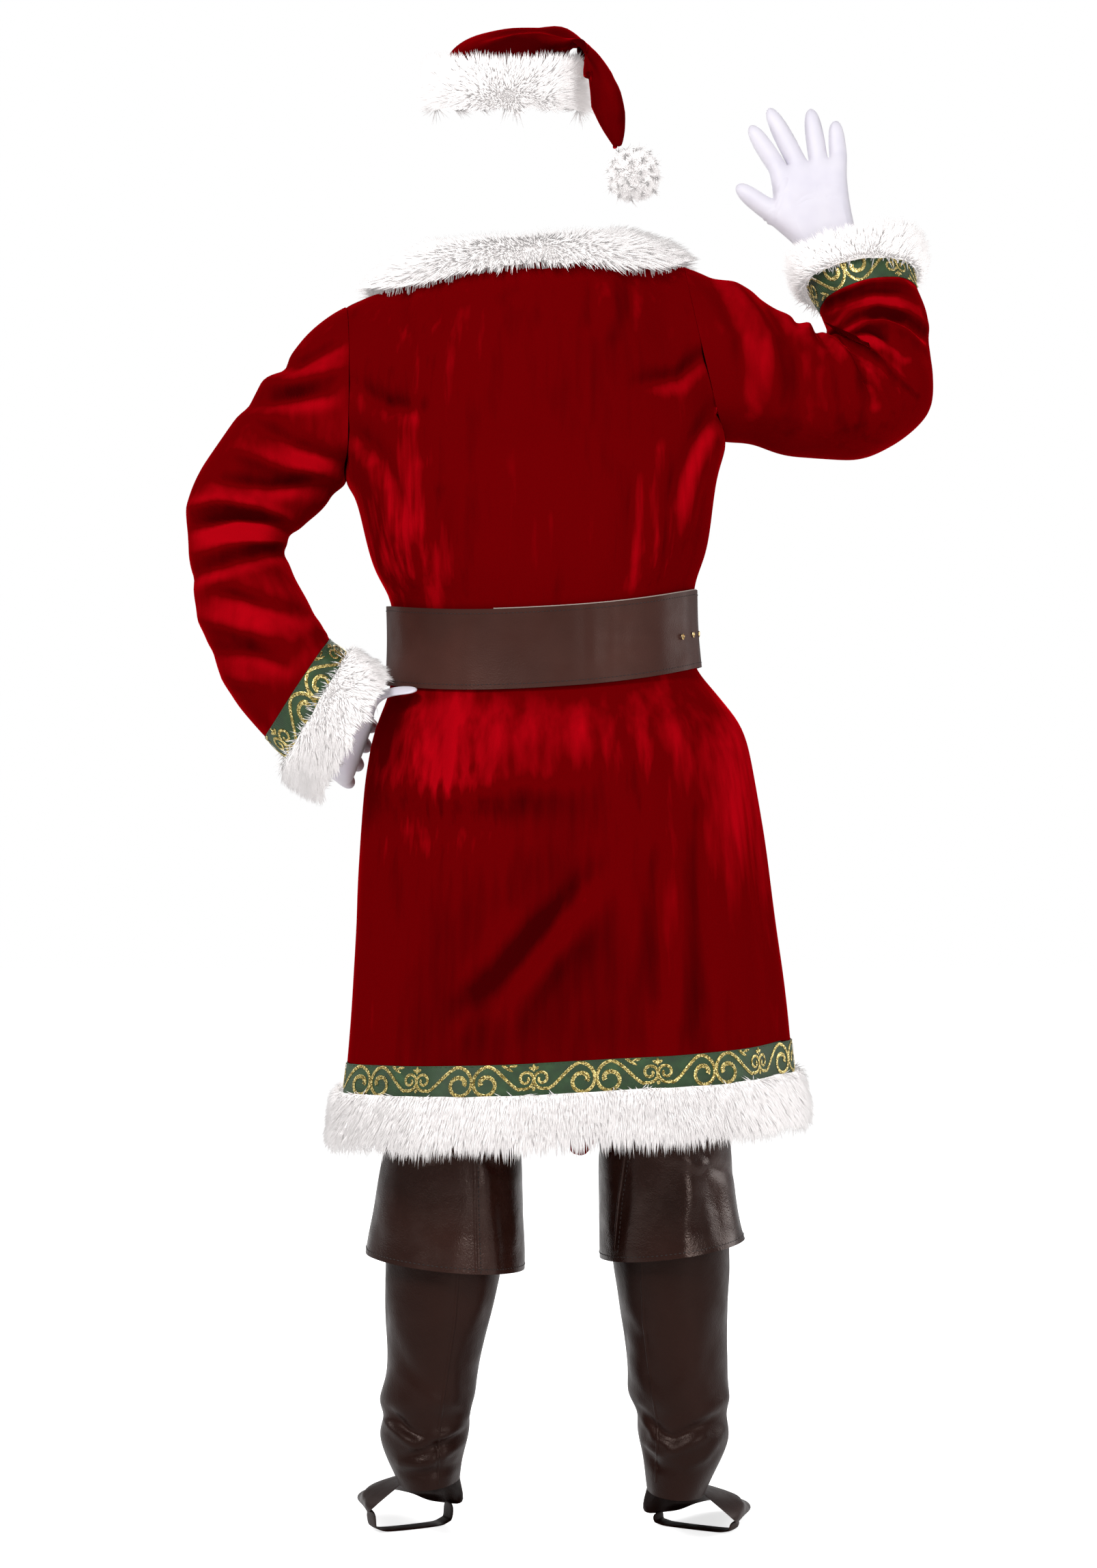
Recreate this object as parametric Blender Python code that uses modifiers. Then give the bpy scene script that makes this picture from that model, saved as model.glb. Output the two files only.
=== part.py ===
"""Santa suit in the pose it is worn in: coat, belt, trousers, hat, gloves and boot covers.

Metres, +Z up. +X is the wearer's right, +Y the wearer's front. The origin lies between the
shoulders, where the coat hangs from the wearer. Every cloth piece is the outside of one cut
piece, lofted from a short table of sections and given its wall inwards. Pieces that meet at a
seam share their points there, so their walls stay parallel and SEAM apart.
"""
import math
from collections import namedtuple

import bmesh
import bpy
from mathutils import Matrix, Vector, kdtree
from mathutils.bvhtree import BVHTree

# ---- driving dimensions, metres -------------------------------------------------------------
SEAM = 0.0003                 # gap between two pieces sewn together
MERGE = 0.00002               # points closer than this are one point
VELVET = 0.0020               # velvet with its pile
LEATHER = 0.0016              # faux leather of the boot covers
STRAP = 0.0028                # belt, two layers of faux leather stitched together
KNIT = 0.0010                 # gloves

HALF_STEPS = 16               # steps across the back panel, side seam to side seam
SHOULDER_STEPS = 6            # of those, the steps from an armhole to the neck
# Turns from the top of an armhole down its back, with one long step under the arm.
ARM_TURNS = [step / 18 for step in (0, 1, 2, 3, 4, 5, 6, 7, 9)]
ROUNDNESS = 0.85              # 1 gives elliptic coat sections, less gives squarer ones

COLOURS = {                   # base colour, roughness, metallic
    "velvet": ((0.36, 0.004, 0.012), 0.72, 0.0),
    "ribbon": ((0.035, 0.085, 0.022), 0.70, 0.0),
    "fur": ((0.86, 0.82, 0.81), 0.90, 0.0),
    "belt_leather": ((0.055, 0.027, 0.023), 0.45, 0.0),
    "boot_leather": ((0.045, 0.021, 0.017), 0.35, 0.0),
    "knit": ((0.80, 0.77, 0.86), 0.65, 0.0),
    "brass": ((0.72, 0.52, 0.24), 0.30, 1.0),
}

# ---- coat, from the hem upwards -------------------------------------------------------------
# dip is how much lower the middle of the back lies than the sides.
Section = namedtuple("Section", "left_x left_z right_x right_z back front flute dip")
HEM_EDGE = Section(-0.230, -0.972, 0.312, -0.948, 0.205, 0.234, 0.0075, 0.0)
BAND_TOP = Section(-0.225, -0.929, 0.307, -0.903, 0.202, 0.233, 0.0072, 0.0)
COAT = [
    BAND_TOP,
    Section(-0.217, -0.805, 0.296, -0.793, 0.194, 0.231, 0.0060, 0.002),
    Section(-0.212, -0.689, 0.281, -0.681, 0.188, 0.230, 0.0050, 0.005),
    Section(-0.203, -0.589, 0.264, -0.581, 0.182, 0.230, 0.0042, 0.010),
    Section(-0.190, -0.523, 0.244, -0.515, 0.172, 0.217, 0.0035, 0.015),
    Section(-0.174, -0.480, 0.201, -0.458, 0.153, 0.205, 0.0, 0.018),
    Section(-0.172, -0.427, 0.197, -0.408, 0.149, 0.198, 0.0, 0.018),
    Section(-0.173, -0.377, 0.196, -0.358, 0.151, 0.194, 0.0, 0.018),
    Section(-0.192, -0.339, 0.208, -0.317, 0.160, 0.188, 0.0030, 0.014),
    Section(-0.206, -0.289, 0.218, -0.264, 0.162, 0.178, 0.0020, 0.009),
    Section(-0.217, -0.250, 0.227, -0.216, 0.160, 0.165, 0.0010, 0.005),
]
CHEST = (0.156, 0.152)        # depth of the coat behind and before the underarms
BACK_ROUND = 3.6              # a higher value keeps the back upright nearer to the shoulders
FRONT_ROUND = 2.2
CHEST_BULGE = 0.010           # how much fuller it is at the shoulder blades and the breast
FRONT_LAP = 0.5               # steps that each front runs past the centre line
LAP_DROP = 0.0034             # how far the lower front sits under the upper one
HEM_OPENING = 0.004           # radians between the two ends of the hem band

# ---- sleeves, from the armhole to the end of the fur ----------------------------------------
# A section may slant: its back and its front lie so much further along the arm than its middle.
Arm = namedtuple("Arm", "outer_x outer_y outer_z inner_x inner_y inner_z depth back front bow")
SLEEVE_LEFT = [
    Arm(-0.227, 0.000, -0.018, -0.228, 0.000, -0.228, 0.090, 0.000, 0.000, 0.010),
    Arm(-0.252, -0.001, -0.034, -0.234, -0.001, -0.237, 0.088, 0.000, 0.000, 0.006),
    Arm(-0.284, -0.004, -0.067, -0.242, -0.002, -0.246, 0.084, 0.000, 0.000, 0.000),
    Arm(-0.314, -0.010, -0.102, -0.256, -0.006, -0.264, 0.081, 0.000, 0.000, 0.000),
    Arm(-0.345, -0.016, -0.138, -0.271, -0.012, -0.278, 0.078, 0.000, 0.000, 0.000),
    Arm(-0.376, -0.022, -0.180, -0.285, -0.018, -0.289, 0.075, 0.000, 0.000, 0.000),
    Arm(-0.401, -0.030, -0.219, -0.295, -0.024, -0.297, 0.072, 0.000, 0.000, 0.000),
    Arm(-0.416, -0.036, -0.264, -0.300, -0.030, -0.306, 0.070, 0.000, 0.000, 0.000),
    Arm(-0.413, -0.042, -0.310, -0.293, -0.036, -0.320, 0.069, 0.000, 0.000, 0.000),
    Arm(-0.408, -0.048, -0.352, -0.287, -0.044, -0.346, 0.068, 0.000, 0.000, 0.000),
    Arm(-0.399, -0.056, -0.397, -0.273, -0.052, -0.369, 0.067, 0.000, 0.000, 0.000),
    Arm(-0.382, -0.062, -0.442, -0.260, -0.060, -0.392, 0.066, 0.000, 0.000, 0.000),
    Arm(-0.355, -0.068, -0.497, -0.248, -0.068, -0.411, 0.065, 0.002, -0.007, 0.000),
    Arm(-0.318, -0.074, -0.539, -0.241, -0.076, -0.422, 0.064, 0.004, -0.014, 0.000),
    Arm(-0.289, -0.078, -0.570, -0.217, -0.086, -0.441, 0.063, 0.005, -0.024, 0.000),
    Arm(-0.242, -0.085, -0.602, -0.174, -0.102, -0.478, 0.066, 0.007, -0.040, 0.000),
]
SLEEVE_RIGHT = [
    Arm(0.185, 0.000, 0.031, 0.235, 0.000, -0.182, 0.090, 0.000, 0.000, -0.008),
    Arm(0.212, 0.000, 0.022, 0.247, 0.000, -0.183, 0.088, 0.000, 0.000, -0.004),
    Arm(0.240, 0.000, 0.013, 0.271, 0.002, -0.185, 0.085, 0.000, 0.000, 0.000),
    Arm(0.268, 0.000, 0.001, 0.300, 0.004, -0.194, 0.082, 0.000, 0.000, 0.000),
    Arm(0.297, 0.000, -0.018, 0.336, 0.006, -0.200, 0.079, 0.002, -0.002, 0.000),
    Arm(0.322, 0.000, -0.037, 0.374, 0.008, -0.202, 0.077, 0.004, -0.004, 0.000),
    Arm(0.341, 0.002, -0.048, 0.412, 0.010, -0.197, 0.075, 0.007, -0.007, 0.000),
    Arm(0.355, 0.006, -0.052, 0.451, 0.012, -0.177, 0.073, 0.010, -0.010, 0.000),
    Arm(0.362, 0.012, -0.049, 0.477, 0.014, -0.154, 0.071, 0.014, -0.014, 0.000),
    Arm(0.364, 0.020, -0.042, 0.488, 0.018, -0.129, 0.070, 0.018, -0.018, 0.000),
    Arm(0.361, 0.028, -0.033, 0.489, 0.024, -0.095, 0.069, 0.022, -0.022, 0.000),
    Arm(0.357, 0.036, -0.026, 0.487, 0.032, -0.058, 0.068, 0.024, -0.024, 0.000),
    Arm(0.355, 0.042, -0.021, 0.485, 0.040, -0.023, 0.067, 0.026, -0.026, 0.000),
    Arm(0.353, 0.048, -0.014, 0.473, 0.048, 0.012, 0.066, 0.018, -0.024, 0.000),
    Arm(0.338, 0.056, 0.018, 0.471, 0.056, 0.034, 0.066, 0.019, -0.026, 0.000),
    Arm(0.328, 0.072, 0.063, 0.469, 0.072, 0.086, 0.066, 0.008, -0.020, 0.000),
]
# Largest folds of the sleeves: where along the arm (row), where round it (turns from the top
# over the back), how long and how wide (rows, turns), and how high, as a share of FOLD_DEPTH.
# Troughs are negative.
Fold = namedtuple("Fold", "row turn length width height")
FOLDS_LEFT = [
    Fold(1.6, 0.16, 0.7, 0.16, 0.8), Fold(2.6, 0.20, 0.6, 0.14, -0.9),
    Fold(3.5, 0.14, 0.7, 0.14, 0.8), Fold(6.0, 0.36, 1.1, 0.10, 1.0),
    Fold(8.0, 0.32, 0.6, 0.14, -1.2), Fold(9.2, 0.28, 0.9, 0.12, 0.9),
    Fold(11.0, 0.18, 1.8, 0.06, -0.8), Fold(11.5, 0.30, 1.8, 0.07, 0.8),
    Fold(7.8, 0.75, 0.8, 0.14, -0.9), Fold(9.4, 0.72, 1.0, 0.14, 0.8),
]
FOLDS_RIGHT = [
    Fold(2.5, 0.30, 1.2, 0.07, 0.8), Fold(3.4, 0.18, 1.2, 0.07, -0.8),
    Fold(6.4, 0.16, 0.7, 0.14, 1.0), Fold(7.6, 0.22, 0.6, 0.18, -1.1),
    Fold(9.2, 0.20, 0.8, 0.18, 1.0), Fold(10.8, 0.30, 0.7, 0.14, -0.8),
    Fold(8.0, 0.78, 0.8, 0.14, -0.9), Fold(9.6, 0.74, 0.9, 0.14, 0.8),
]
FOLD_DEPTH = 0.0085

# ---- neck and collar ------------------------------------------------------------------------
NECK_LEFT = Vector((-0.095, 0.0, 0.046))
NECK_RIGHT = Vector((0.080, 0.0, 0.056))
NECK_BACK = 0.074             # from the shoulder seams back to the nape
NECK_FRONT = 0.062            # from the shoulder seams to the front edge
NAPE_DROP = 0.012
THROAT_DROP = 0.085
COLLAR_REACH = (0.196, 0.132, 0.150)    # half width, reach behind and before the neck
COLLAR_CENTRE_X = -0.006
COLLAR_TIPS = (0.004, 0.034)  # height of its outer edge over the left and the right shoulder
COLLAR_SINK = (0.012, 0.090)  # how far that edge lies lower behind and before
COLLAR_STEPS = 36
# Section of the collar: share of the way from the neck to its outer edge, thickness there.
COLLAR_SECTION = [(0.0, 0.007), (0.12, 0.018), (0.5, 0.022), (0.86, 0.019), (1.0, 0.006)]
COLLAR_TUFT = 0.10            # how uneven the fur is, as a share of its thickness
COLLAR_CLEAR = 0.0038         # from the coat to the collar
COLLAR_LEAST = 0.0034         # the least this may become between two points of the collar
COLLAR_PASSES = 8
COLLAR_GAP = math.radians(7.0)          # half the opening at the front

# ---- fur bands ------------------------------------------------------------------------------
# Section of a fur band: share of its height below its seam, share of its thickness outwards.
FUR_SECTION = [(0.00, -0.12), (0.00, 0.50), (0.08, 0.90), (0.40, 1.00),
               (0.74, 0.92), (0.96, 0.62), (1.00, 0.02), (0.55, -0.14)]
HEM_FUR = 0.019               # thickness
HEM_FUR_HEIGHT = 0.064
CUFF_FUR = 0.017
BRIM_FUR = 0.019
BRIM_FUR_HEIGHT = 0.068
TUFTS = 0.05                  # how uneven a fur band is, as a share of its size
BRIM_STEPS = 40

# ---- belt -----------------------------------------------------------------------------------
BELT_HEIGHT = 0.095
BELT_CLEAR = 0.0016           # from the velvet to the strap
BELT_TOP = Section(-0.173, -0.381, 0.196, -0.361, 0.151, 0.194, 0.0, 0.018)
BELT_MID = Section(-0.172, -0.427, 0.197, -0.408, 0.149, 0.198, 0.0, 0.018)
BELT_BOTTOM = Section(-0.174, -0.476, 0.201, -0.454, 0.153, 0.205, 0.0, 0.018)
EYELETS = 5
EYELET_CLEAR = 0.0012         # from the strap's face to an eyelet
EYELET_SECTION = [(1.0, 0.0), (1.0, 0.0008), (0.72, 0.0014), (0.5, 0.0)]    # radius share, rise
EYELET_SIDES = 10
FIRST_EYELET = math.radians(-31.0)      # behind the wearer's right side
EYELET_PITCH = math.radians(11.0)
EYELET_DROP = 0.006           # how far the eyelets sit below the middle of the strap
EYELET_RADIUS = 0.0036
BUCKLE = (0.112, 0.112, 0.012, 0.005)   # width, height, bar width, thickness
BUCKLE_LEAN = math.radians(6.7)         # its top leans back, as the belt does there
BUCKLE_EDGE = 0.0012          # bevel
PRONG = (0.0036, 0.0028)      # radius at its root and at its tip
BUCKLE_CLEAR = 0.0035                   # from the strap's face to the buckle's middle

# ---- hat ------------------------------------------------------------------------------------
HAT_STEPS = 18
HAT_LEAN = 0.225              # how much higher its front sits than its back, per metre between
Cone = namedtuple("Cone", "left_x left_z right_x right_z depth mid_y")
HAT = [
    Cone(-0.108, 0.222, 0.047, 0.220, 0.097, 0.000),
    Cone(-0.106, 0.253, 0.047, 0.251, 0.098, 0.000),
    Cone(-0.104, 0.281, 0.046, 0.277, 0.098, 0.000),
    Cone(-0.096, 0.297, 0.047, 0.289, 0.096, -0.002),
    Cone(-0.076, 0.311, 0.050, 0.293, 0.088, -0.006),
    Cone(-0.043, 0.321, 0.055, 0.294, 0.075, -0.014),
    Cone(-0.003, 0.326, 0.062, 0.294, 0.061, -0.026),
    Cone(0.035, 0.325, 0.069, 0.292, 0.048, -0.040),
    Cone(0.059, 0.312, 0.062, 0.281, 0.037, -0.060),
    Cone(0.076, 0.294, 0.062, 0.265, 0.030, -0.075),
    Cone(0.093, 0.268, 0.064, 0.245, 0.024, -0.086),
    Cone(0.106, 0.237, 0.073, 0.223, 0.019, -0.090),
    Cone(0.111, 0.207, 0.084, 0.201, 0.013, -0.090),
    Cone(0.107, 0.185, 0.096, 0.182, 0.005, -0.089),
]
BRIM = Cone(-0.1120, 0.286, 0.0512, 0.286, 0.1030, 0.000)
POMPOM_CENTRE = Vector((0.121, -0.080, 0.130))
POMPOM_CORE = 0.027
POMPOM_REACH = 0.038
POMPOM_LOCKS = 42
POMPOM_LOCK = (0.0072, 0.0036)          # radius of a lock at its root and at its tip
POMPOM_ROOT = 0.75                      # how deep a lock stands in the core, as a share of it
POMPOM_UNEVEN = 0.06                    # how much shorter some locks are

# ---- trousers -------------------------------------------------------------------------------
Leg = namedtuple("Leg", "outer_x outer_z inner_x inner_z back front joined")
CENTRE_X = 0.033              # centre seam, between the legs
LEG_STEPS = 12
TROUSERS_RIGHT = [
    Leg(0.182, -0.430, CENTRE_X, -0.440, 0.134, 0.176, 0.0),
    Leg(0.216, -0.560, CENTRE_X, -0.570, 0.154, 0.190, 0.0),
    Leg(0.236, -0.680, CENTRE_X, -0.705, 0.158, 0.184, 0.45),
    Leg(0.236, -0.745, CENTRE_X + 0.004, -0.765, 0.140, 0.158, 1.0),
    Leg(0.231, -0.880, 0.048, -0.900, 0.112, 0.120, 1.0),
    Leg(0.228, -0.950, 0.044, -1.020, 0.094, 0.098, 1.0),
    Leg(0.227, -0.956, 0.052, -1.046, 0.088, 0.092, 1.0),
    Leg(0.226, -0.962, 0.068, -1.044, 0.084, 0.086, 1.0),
    Leg(0.225, -0.968, 0.074, -1.010, 0.080, 0.080, 1.0),
    Leg(0.224, -0.974, 0.083, -0.989, 0.076, 0.076, 1.0),
    Leg(0.222, -0.982, 0.100, -0.987, 0.072, 0.072, 1.0),
    Leg(0.220, -1.020, 0.102, -1.030, 0.069, 0.069, 1.0),
    Leg(0.222, -1.300, 0.124, -1.300, 0.060, 0.060, 1.0),
]
TROUSERS_LEFT = [
    Leg(-0.148, -0.440, CENTRE_X, -0.440, 0.134, 0.176, 0.0),
    Leg(-0.162, -0.570, CENTRE_X, -0.570, 0.154, 0.190, 0.0),
    Leg(-0.172, -0.700, CENTRE_X, -0.705, 0.158, 0.184, 0.45),
    Leg(-0.171, -0.755, CENTRE_X - 0.004, -0.765, 0.140, 0.158, 1.0),
    Leg(-0.167, -0.880, 0.018, -0.880, 0.112, 0.120, 1.0),
    Leg(-0.160, -0.955, -0.002, -0.960, 0.092, 0.096, 1.0),
    Leg(-0.155, -0.988, -0.034, -0.990, 0.074, 0.074, 1.0),
    Leg(-0.154, -1.020, -0.038, -1.020, 0.069, 0.069, 1.0),
    Leg(-0.166, -1.300, -0.076, -1.300, 0.060, 0.060, 1.0),
]
SAG = 0.5                     # below 1, a trouser section sags only near the inner leg
WAISTBAND_HEIGHT = 0.035

# ---- boot covers ----------------------------------------------------------------------------
Boot = namedtuple("Boot", "outer_x outer_z inner_x inner_z back front")
BOOT_STEPS = 14
SHAFT_LEFT = [
    Boot(-0.166, -1.002, -0.027, -1.002, 0.080, 0.080),
    Boot(-0.173, -1.087, -0.032, -1.087, 0.080, 0.080),
    Boot(-0.178, -1.162, -0.036, -1.162, 0.079, 0.078),
    Boot(-0.179, -1.212, -0.044, -1.212, 0.078, 0.074),
    Boot(-0.178, -1.262, -0.056, -1.262, 0.075, 0.070),
    Boot(-0.178, -1.311, -0.067, -1.311, 0.070, 0.066),
    Boot(-0.186, -1.342, -0.070, -1.338, 0.068, 0.068),
    Boot(-0.181, -1.362, -0.076, -1.358, 0.062, 0.068),
    Boot(-0.186, -1.384, -0.077, -1.380, 0.064, 0.076),
    Boot(-0.177, -1.412, -0.084, -1.410, 0.060, 0.078),
    Boot(-0.162, -1.446, -0.089, -1.439, 0.058, 0.082),
]
SHAFT_RIGHT = [
    Boot(0.234, -1.002, 0.092, -1.002, 0.080, 0.080),
    Boot(0.237, -1.087, 0.091, -1.087, 0.080, 0.080),
    Boot(0.240, -1.162, 0.096, -1.162, 0.079, 0.078),
    Boot(0.238, -1.212, 0.103, -1.212, 0.078, 0.074),
    Boot(0.237, -1.262, 0.111, -1.262, 0.075, 0.070),
    Boot(0.237, -1.311, 0.116, -1.311, 0.071, 0.067),
    Boot(0.240, -1.340, 0.117, -1.336, 0.069, 0.068),
    Boot(0.236, -1.362, 0.127, -1.358, 0.064, 0.068),
    Boot(0.239, -1.386, 0.128, -1.380, 0.066, 0.076),
    Boot(0.229, -1.415, 0.134, -1.411, 0.061, 0.078),
    Boot(0.209, -1.457, 0.139, -1.452, 0.059, 0.082),
]
CUFF_LEFT = [
    Boot(-0.172, -1.000, -0.021, -1.000, 0.087, 0.087),
    Boot(-0.181, -1.046, -0.014, -1.047, 0.091, 0.090),
    Boot(-0.189, -1.091, -0.012, -1.097, 0.095, 0.093),
    Boot(-0.197, -1.133, -0.010, -1.144, 0.099, 0.096),
    Boot(-0.203, -1.164, -0.009, -1.184, 0.103, 0.099),
]
CUFF_RIGHT = [
    Boot(0.240, -1.000, 0.085, -1.000, 0.087, 0.087),
    Boot(0.242, -1.046, 0.081, -1.046, 0.091, 0.090),
    Boot(0.247, -1.091, 0.080, -1.091, 0.095, 0.093),
    Boot(0.253, -1.129, 0.081, -1.133, 0.099, 0.096),
    Boot(0.258, -1.147, 0.081, -1.170, 0.103, 0.099),
]
# Instep flap: how far it reaches along the foot, half width, and how far its ridge and its
# edge lie below the shaft's end.
Flap = namedtuple("Flap", "reach half_width ridge edge")
FLAP = [Flap(0.036, 0.061, 0.017, 0.033), Flap(0.058, 0.057, 0.027, 0.043),
        Flap(0.080, 0.051, 0.036, 0.046), Flap(0.102, 0.043, 0.043, 0.048)]
FLAP_GAP = 0.0008             # between the shaft's end and the flap's start
RIDGE_LEAD = 0.070            # how far the flap's ridge runs ahead of its edges
TOES_OUT_LEFT = math.radians(26.0)
TOES_OUT_RIGHT = math.radians(-28.0)
UNDERSTRAP = (0.020, 0.0018, -1.512)    # width, thickness, height of its lowest run
STRAP_STEPS = 10
STRAP_SQUARE = 0.45           # 1 gives a half ellipse, less a squarer loop
STRAP_INSET = 0.004           # from the flap's edges inwards
STRAP_GAP = 0.002             # below the flap's edges
RIDGE_ROUND = 0.8             # below 1, the flap is rounder than a roof

# ---- gloves ---------------------------------------------------------------------------------
# Sections of the hand from the wrist up: height, half width, half thickness, shift sideways.
Palm = namedtuple("Palm", "up half_width half_thick shift")
RESTING_PALM = [Palm(-0.034, 0.032, 0.022, 0.012), Palm(0.004, 0.036, 0.021, 0.003),
                Palm(0.046, 0.048, 0.020, -0.001), Palm(0.086, 0.046, 0.015, 0.0)]
OPEN_PALM = [Palm(-0.034, 0.032, 0.022, 0.012), Palm(0.004, 0.0405, 0.021, -0.0015),
             Palm(0.062, 0.047, 0.020, -0.005), Palm(0.092, 0.050, 0.015, 0.0)]
# Fingers: lean sideways (degrees), length beyond the palm, width of the cage, curl (degrees).
Finger = namedtuple("Finger", "lean length width curl")
OPEN_HAND = [Finger(-21.0, 0.080, 0.0265, 0.0), Finger(-15.5, 0.099, 0.0275, 0.0),
             Finger(3.0, 0.082, 0.0265, 0.0), Finger(7.0, 0.057, 0.0235, 0.0)]
# Thumbs: the spots their middle passes, in the hand's frame for the open hand.
OPEN_THUMB = [Vector((-0.062, 0.0, 0.046)), Vector((-0.096, 0.0, 0.087))]
OPEN_THUMB_WIDTH = 0.0280
RESTING_HAND = [Finger(-3.0, 0.070, 0.0240, 6.0), Finger(0.0, 0.076, 0.0245, 6.0),
                Finger(3.0, 0.070, 0.0240, 6.0), Finger(6.0, 0.056, 0.0220, 6.0)]
RESTING_THUMB = [Vector((-0.185, -0.084, -0.499)), Vector((-0.165, -0.101, -0.491)),
                 Vector((-0.131, -0.128, -0.489))]
RESTING_THUMB_WIDTH = 0.0240
FINGER_TAPER = 0.12
FINGER_RINGS = (0.14, 0.90)   # where the cage has rings, as shares of a finger's length
# Where each hand is: its origin near the wrist, the way its fingers point, the way its palm faces.
RAISED = (Vector((0.361, 0.080, 0.084)), Vector((-0.20, 0.08, 1.0)), Vector((0.0, 1.0, 0.0)))
RESTING = (Vector((-0.223, -0.084, -0.544)), Vector((0.04, 0.99, -0.10)), Vector((0.94, -0.05, -0.33)))
RESTING_FOREARM = (Vector((-0.206, -0.093, -0.529)), Vector((0.84, -0.10, -0.55)),
                   Vector((-0.10, -0.99, 0.0)))
BEND = (-0.034, 0.046)        # heights between which the wrist bends


def power(value, exponent):
    """Raise to an exponent and keep the sign."""
    return math.copysign(abs(value) ** exponent, value)


def mix(first, second, share):
    return first + (second - first) * share


def smooth(value):
    value = min(max(value, 0.0), 1.0)
    return value * value * (3.0 - 2.0 * value)


# ---- the cloth's shape ----------------------------------------------------------------------
def flutes(angle):
    """Soft vertical folds round the coat, between -1 and 1."""
    return 0.6 * math.cos(7.0 * angle + 0.6) + 0.4 * math.cos(12.0 * angle + 1.9)


def coat_point(section, angle):
    """Point of a coat section: 0 is the right side, then front, left and back."""
    across = power(math.cos(angle), ROUNDNESS)
    along = power(math.sin(angle), ROUNDNESS)
    push = section.flute * flutes(angle)
    x = mix(section.left_x, section.right_x, 0.5 + 0.5 * across) + push * math.cos(angle)
    y = (section.front if along > 0.0 else section.back) * along + push * math.sin(angle)
    z = mix(section.left_z, section.right_z, 0.5 + 0.5 * across)
    return Vector((x, y, z - section.dip * min(along, 0.0) ** 2))


def arm_middle(arm):
    return 0.5 * Vector((arm.outer_x + arm.inner_x, arm.outer_y + arm.inner_y,
                         arm.outer_z + arm.inner_z))


def arm_point(arms, index, turn):
    """Point of a sleeve section: turn 0 is its outside, 0.25 its back, 0.5 its inside."""
    arm = arms[index]
    angle = 2.0 * math.pi * turn
    outer = Vector((arm.outer_x, arm.outer_y, arm.outer_z))
    inner = Vector((arm.inner_x, arm.inner_y, arm.inner_z))
    side = math.sin(angle)
    point = mix(inner, outer, 0.5 + 0.5 * math.cos(angle))
    point += Vector((arm.bow * abs(side), -arm.depth * side, 0.0))
    before = arms[max(index - 1, 0)]
    after = arms[min(index + 1, len(arms) - 1)]
    along = (arm_middle(after) - arm_middle(before)).normalized()
    slant = arm.back * side if side > 0.0 else -arm.front * side
    return point + along * slant


def underarm(left_arm, right_arm):
    """The coat's section that ends in the two underarm points."""
    left = arm_point(left_arm, 0, 0.5)
    right = arm_point(right_arm, 0, 0.5)
    return Section(left.x, left.z, right.x, right.z, CHEST[0], CHEST[1], 0.0, 0.0)


def neckline(turn, behind):
    """Edge of the neck: turn 0 is the left shoulder seam, 1 the right one."""
    angle = math.pi * turn
    reach = -NECK_BACK if behind else NECK_FRONT
    drop = NAPE_DROP if behind else THROAT_DROP
    point = mix(NECK_LEFT, NECK_RIGHT, 0.5 - 0.5 * math.cos(angle))
    return point + Vector((0.0, reach * math.sin(angle), -drop * math.sin(angle)))


def shoulder_line(step, behind, tips):
    """Top edge of a panel, step 0 at the left armhole and HALF_STEPS at the right one."""
    last = HALF_STEPS - SHOULDER_STEPS
    if step < SHOULDER_STEPS:
        return mix(tips[0], NECK_LEFT, step / SHOULDER_STEPS)
    if step > last:
        return mix(tips[1], NECK_RIGHT, (HALF_STEPS - step) / SHOULDER_STEPS)
    return neckline((step - SHOULDER_STEPS) / (last - SHOULDER_STEPS), behind)


def panel_angle(step, behind):
    """Angle of a panel's column, step 0 on the left side seam and HALF_STEPS on the right."""
    turn = math.pi * step / HALF_STEPS
    return math.pi + turn if behind else math.pi - turn


def front_steps():
    """Columns of the left front, from its side seam past the centre."""
    half = HALF_STEPS // 2
    return list(range(half)) + [half - FRONT_LAP, half + FRONT_LAP]


def round_angles():
    """Angles all round the coat, from the edge of the upper front over the left side."""
    angles = [panel_angle(step, False) for step in reversed(front_steps())]
    angles += [panel_angle(step, True) for step in range(1, HALF_STEPS + 1)]
    return angles + [2.0 * math.pi + math.pi * step / HALF_STEPS for step in range(1, HALF_STEPS // 2)]


def panel_rows(steps, behind):
    """Rows of one coat panel from the hem band up to the shoulder and neck."""
    chest = underarm(SLEEVE_LEFT, SLEEVE_RIGHT)
    rows = []
    for section in COAT + [chest]:
        rows.append([coat_point(section, panel_angle(step, behind)) for step in steps])
    tips = (arm_point(SLEEVE_LEFT, 0, 0.0), arm_point(SLEEVE_RIGHT, 0, 0.0))
    way = -1.0 if behind else 1.0
    for turn in ARM_TURNS[-2::-1]:
        height = 0.5 + 0.5 * math.cos(2.0 * math.pi * turn)
        rounding = math.sqrt(max(0.0, 1.0 - height ** (BACK_ROUND if behind else FRONT_ROUND)))
        points = []
        for step in steps:
            low = coat_point(chest, panel_angle(step, behind))
            top = shoulder_line(step, behind, tips)
            arm = SLEEVE_LEFT[0] if step < HALF_STEPS / 2 else SLEEVE_RIGHT[0]
            near = abs(math.cos(panel_angle(step, behind)))
            opening = math.sin(2.0 * math.pi * turn) * near ** 3
            depth = math.hypot(abs(low.y - top.y) * rounding, arm.depth * opening)
            depth += CHEST_BULGE * math.sin(math.pi * height) * (1.0 - near ** 2)
            point = mix(low, top, height)
            point.x += arm.bow * opening
            point.y = top.y + way * depth
            points.append(point)
        rows.append(points)
    return rows


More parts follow.
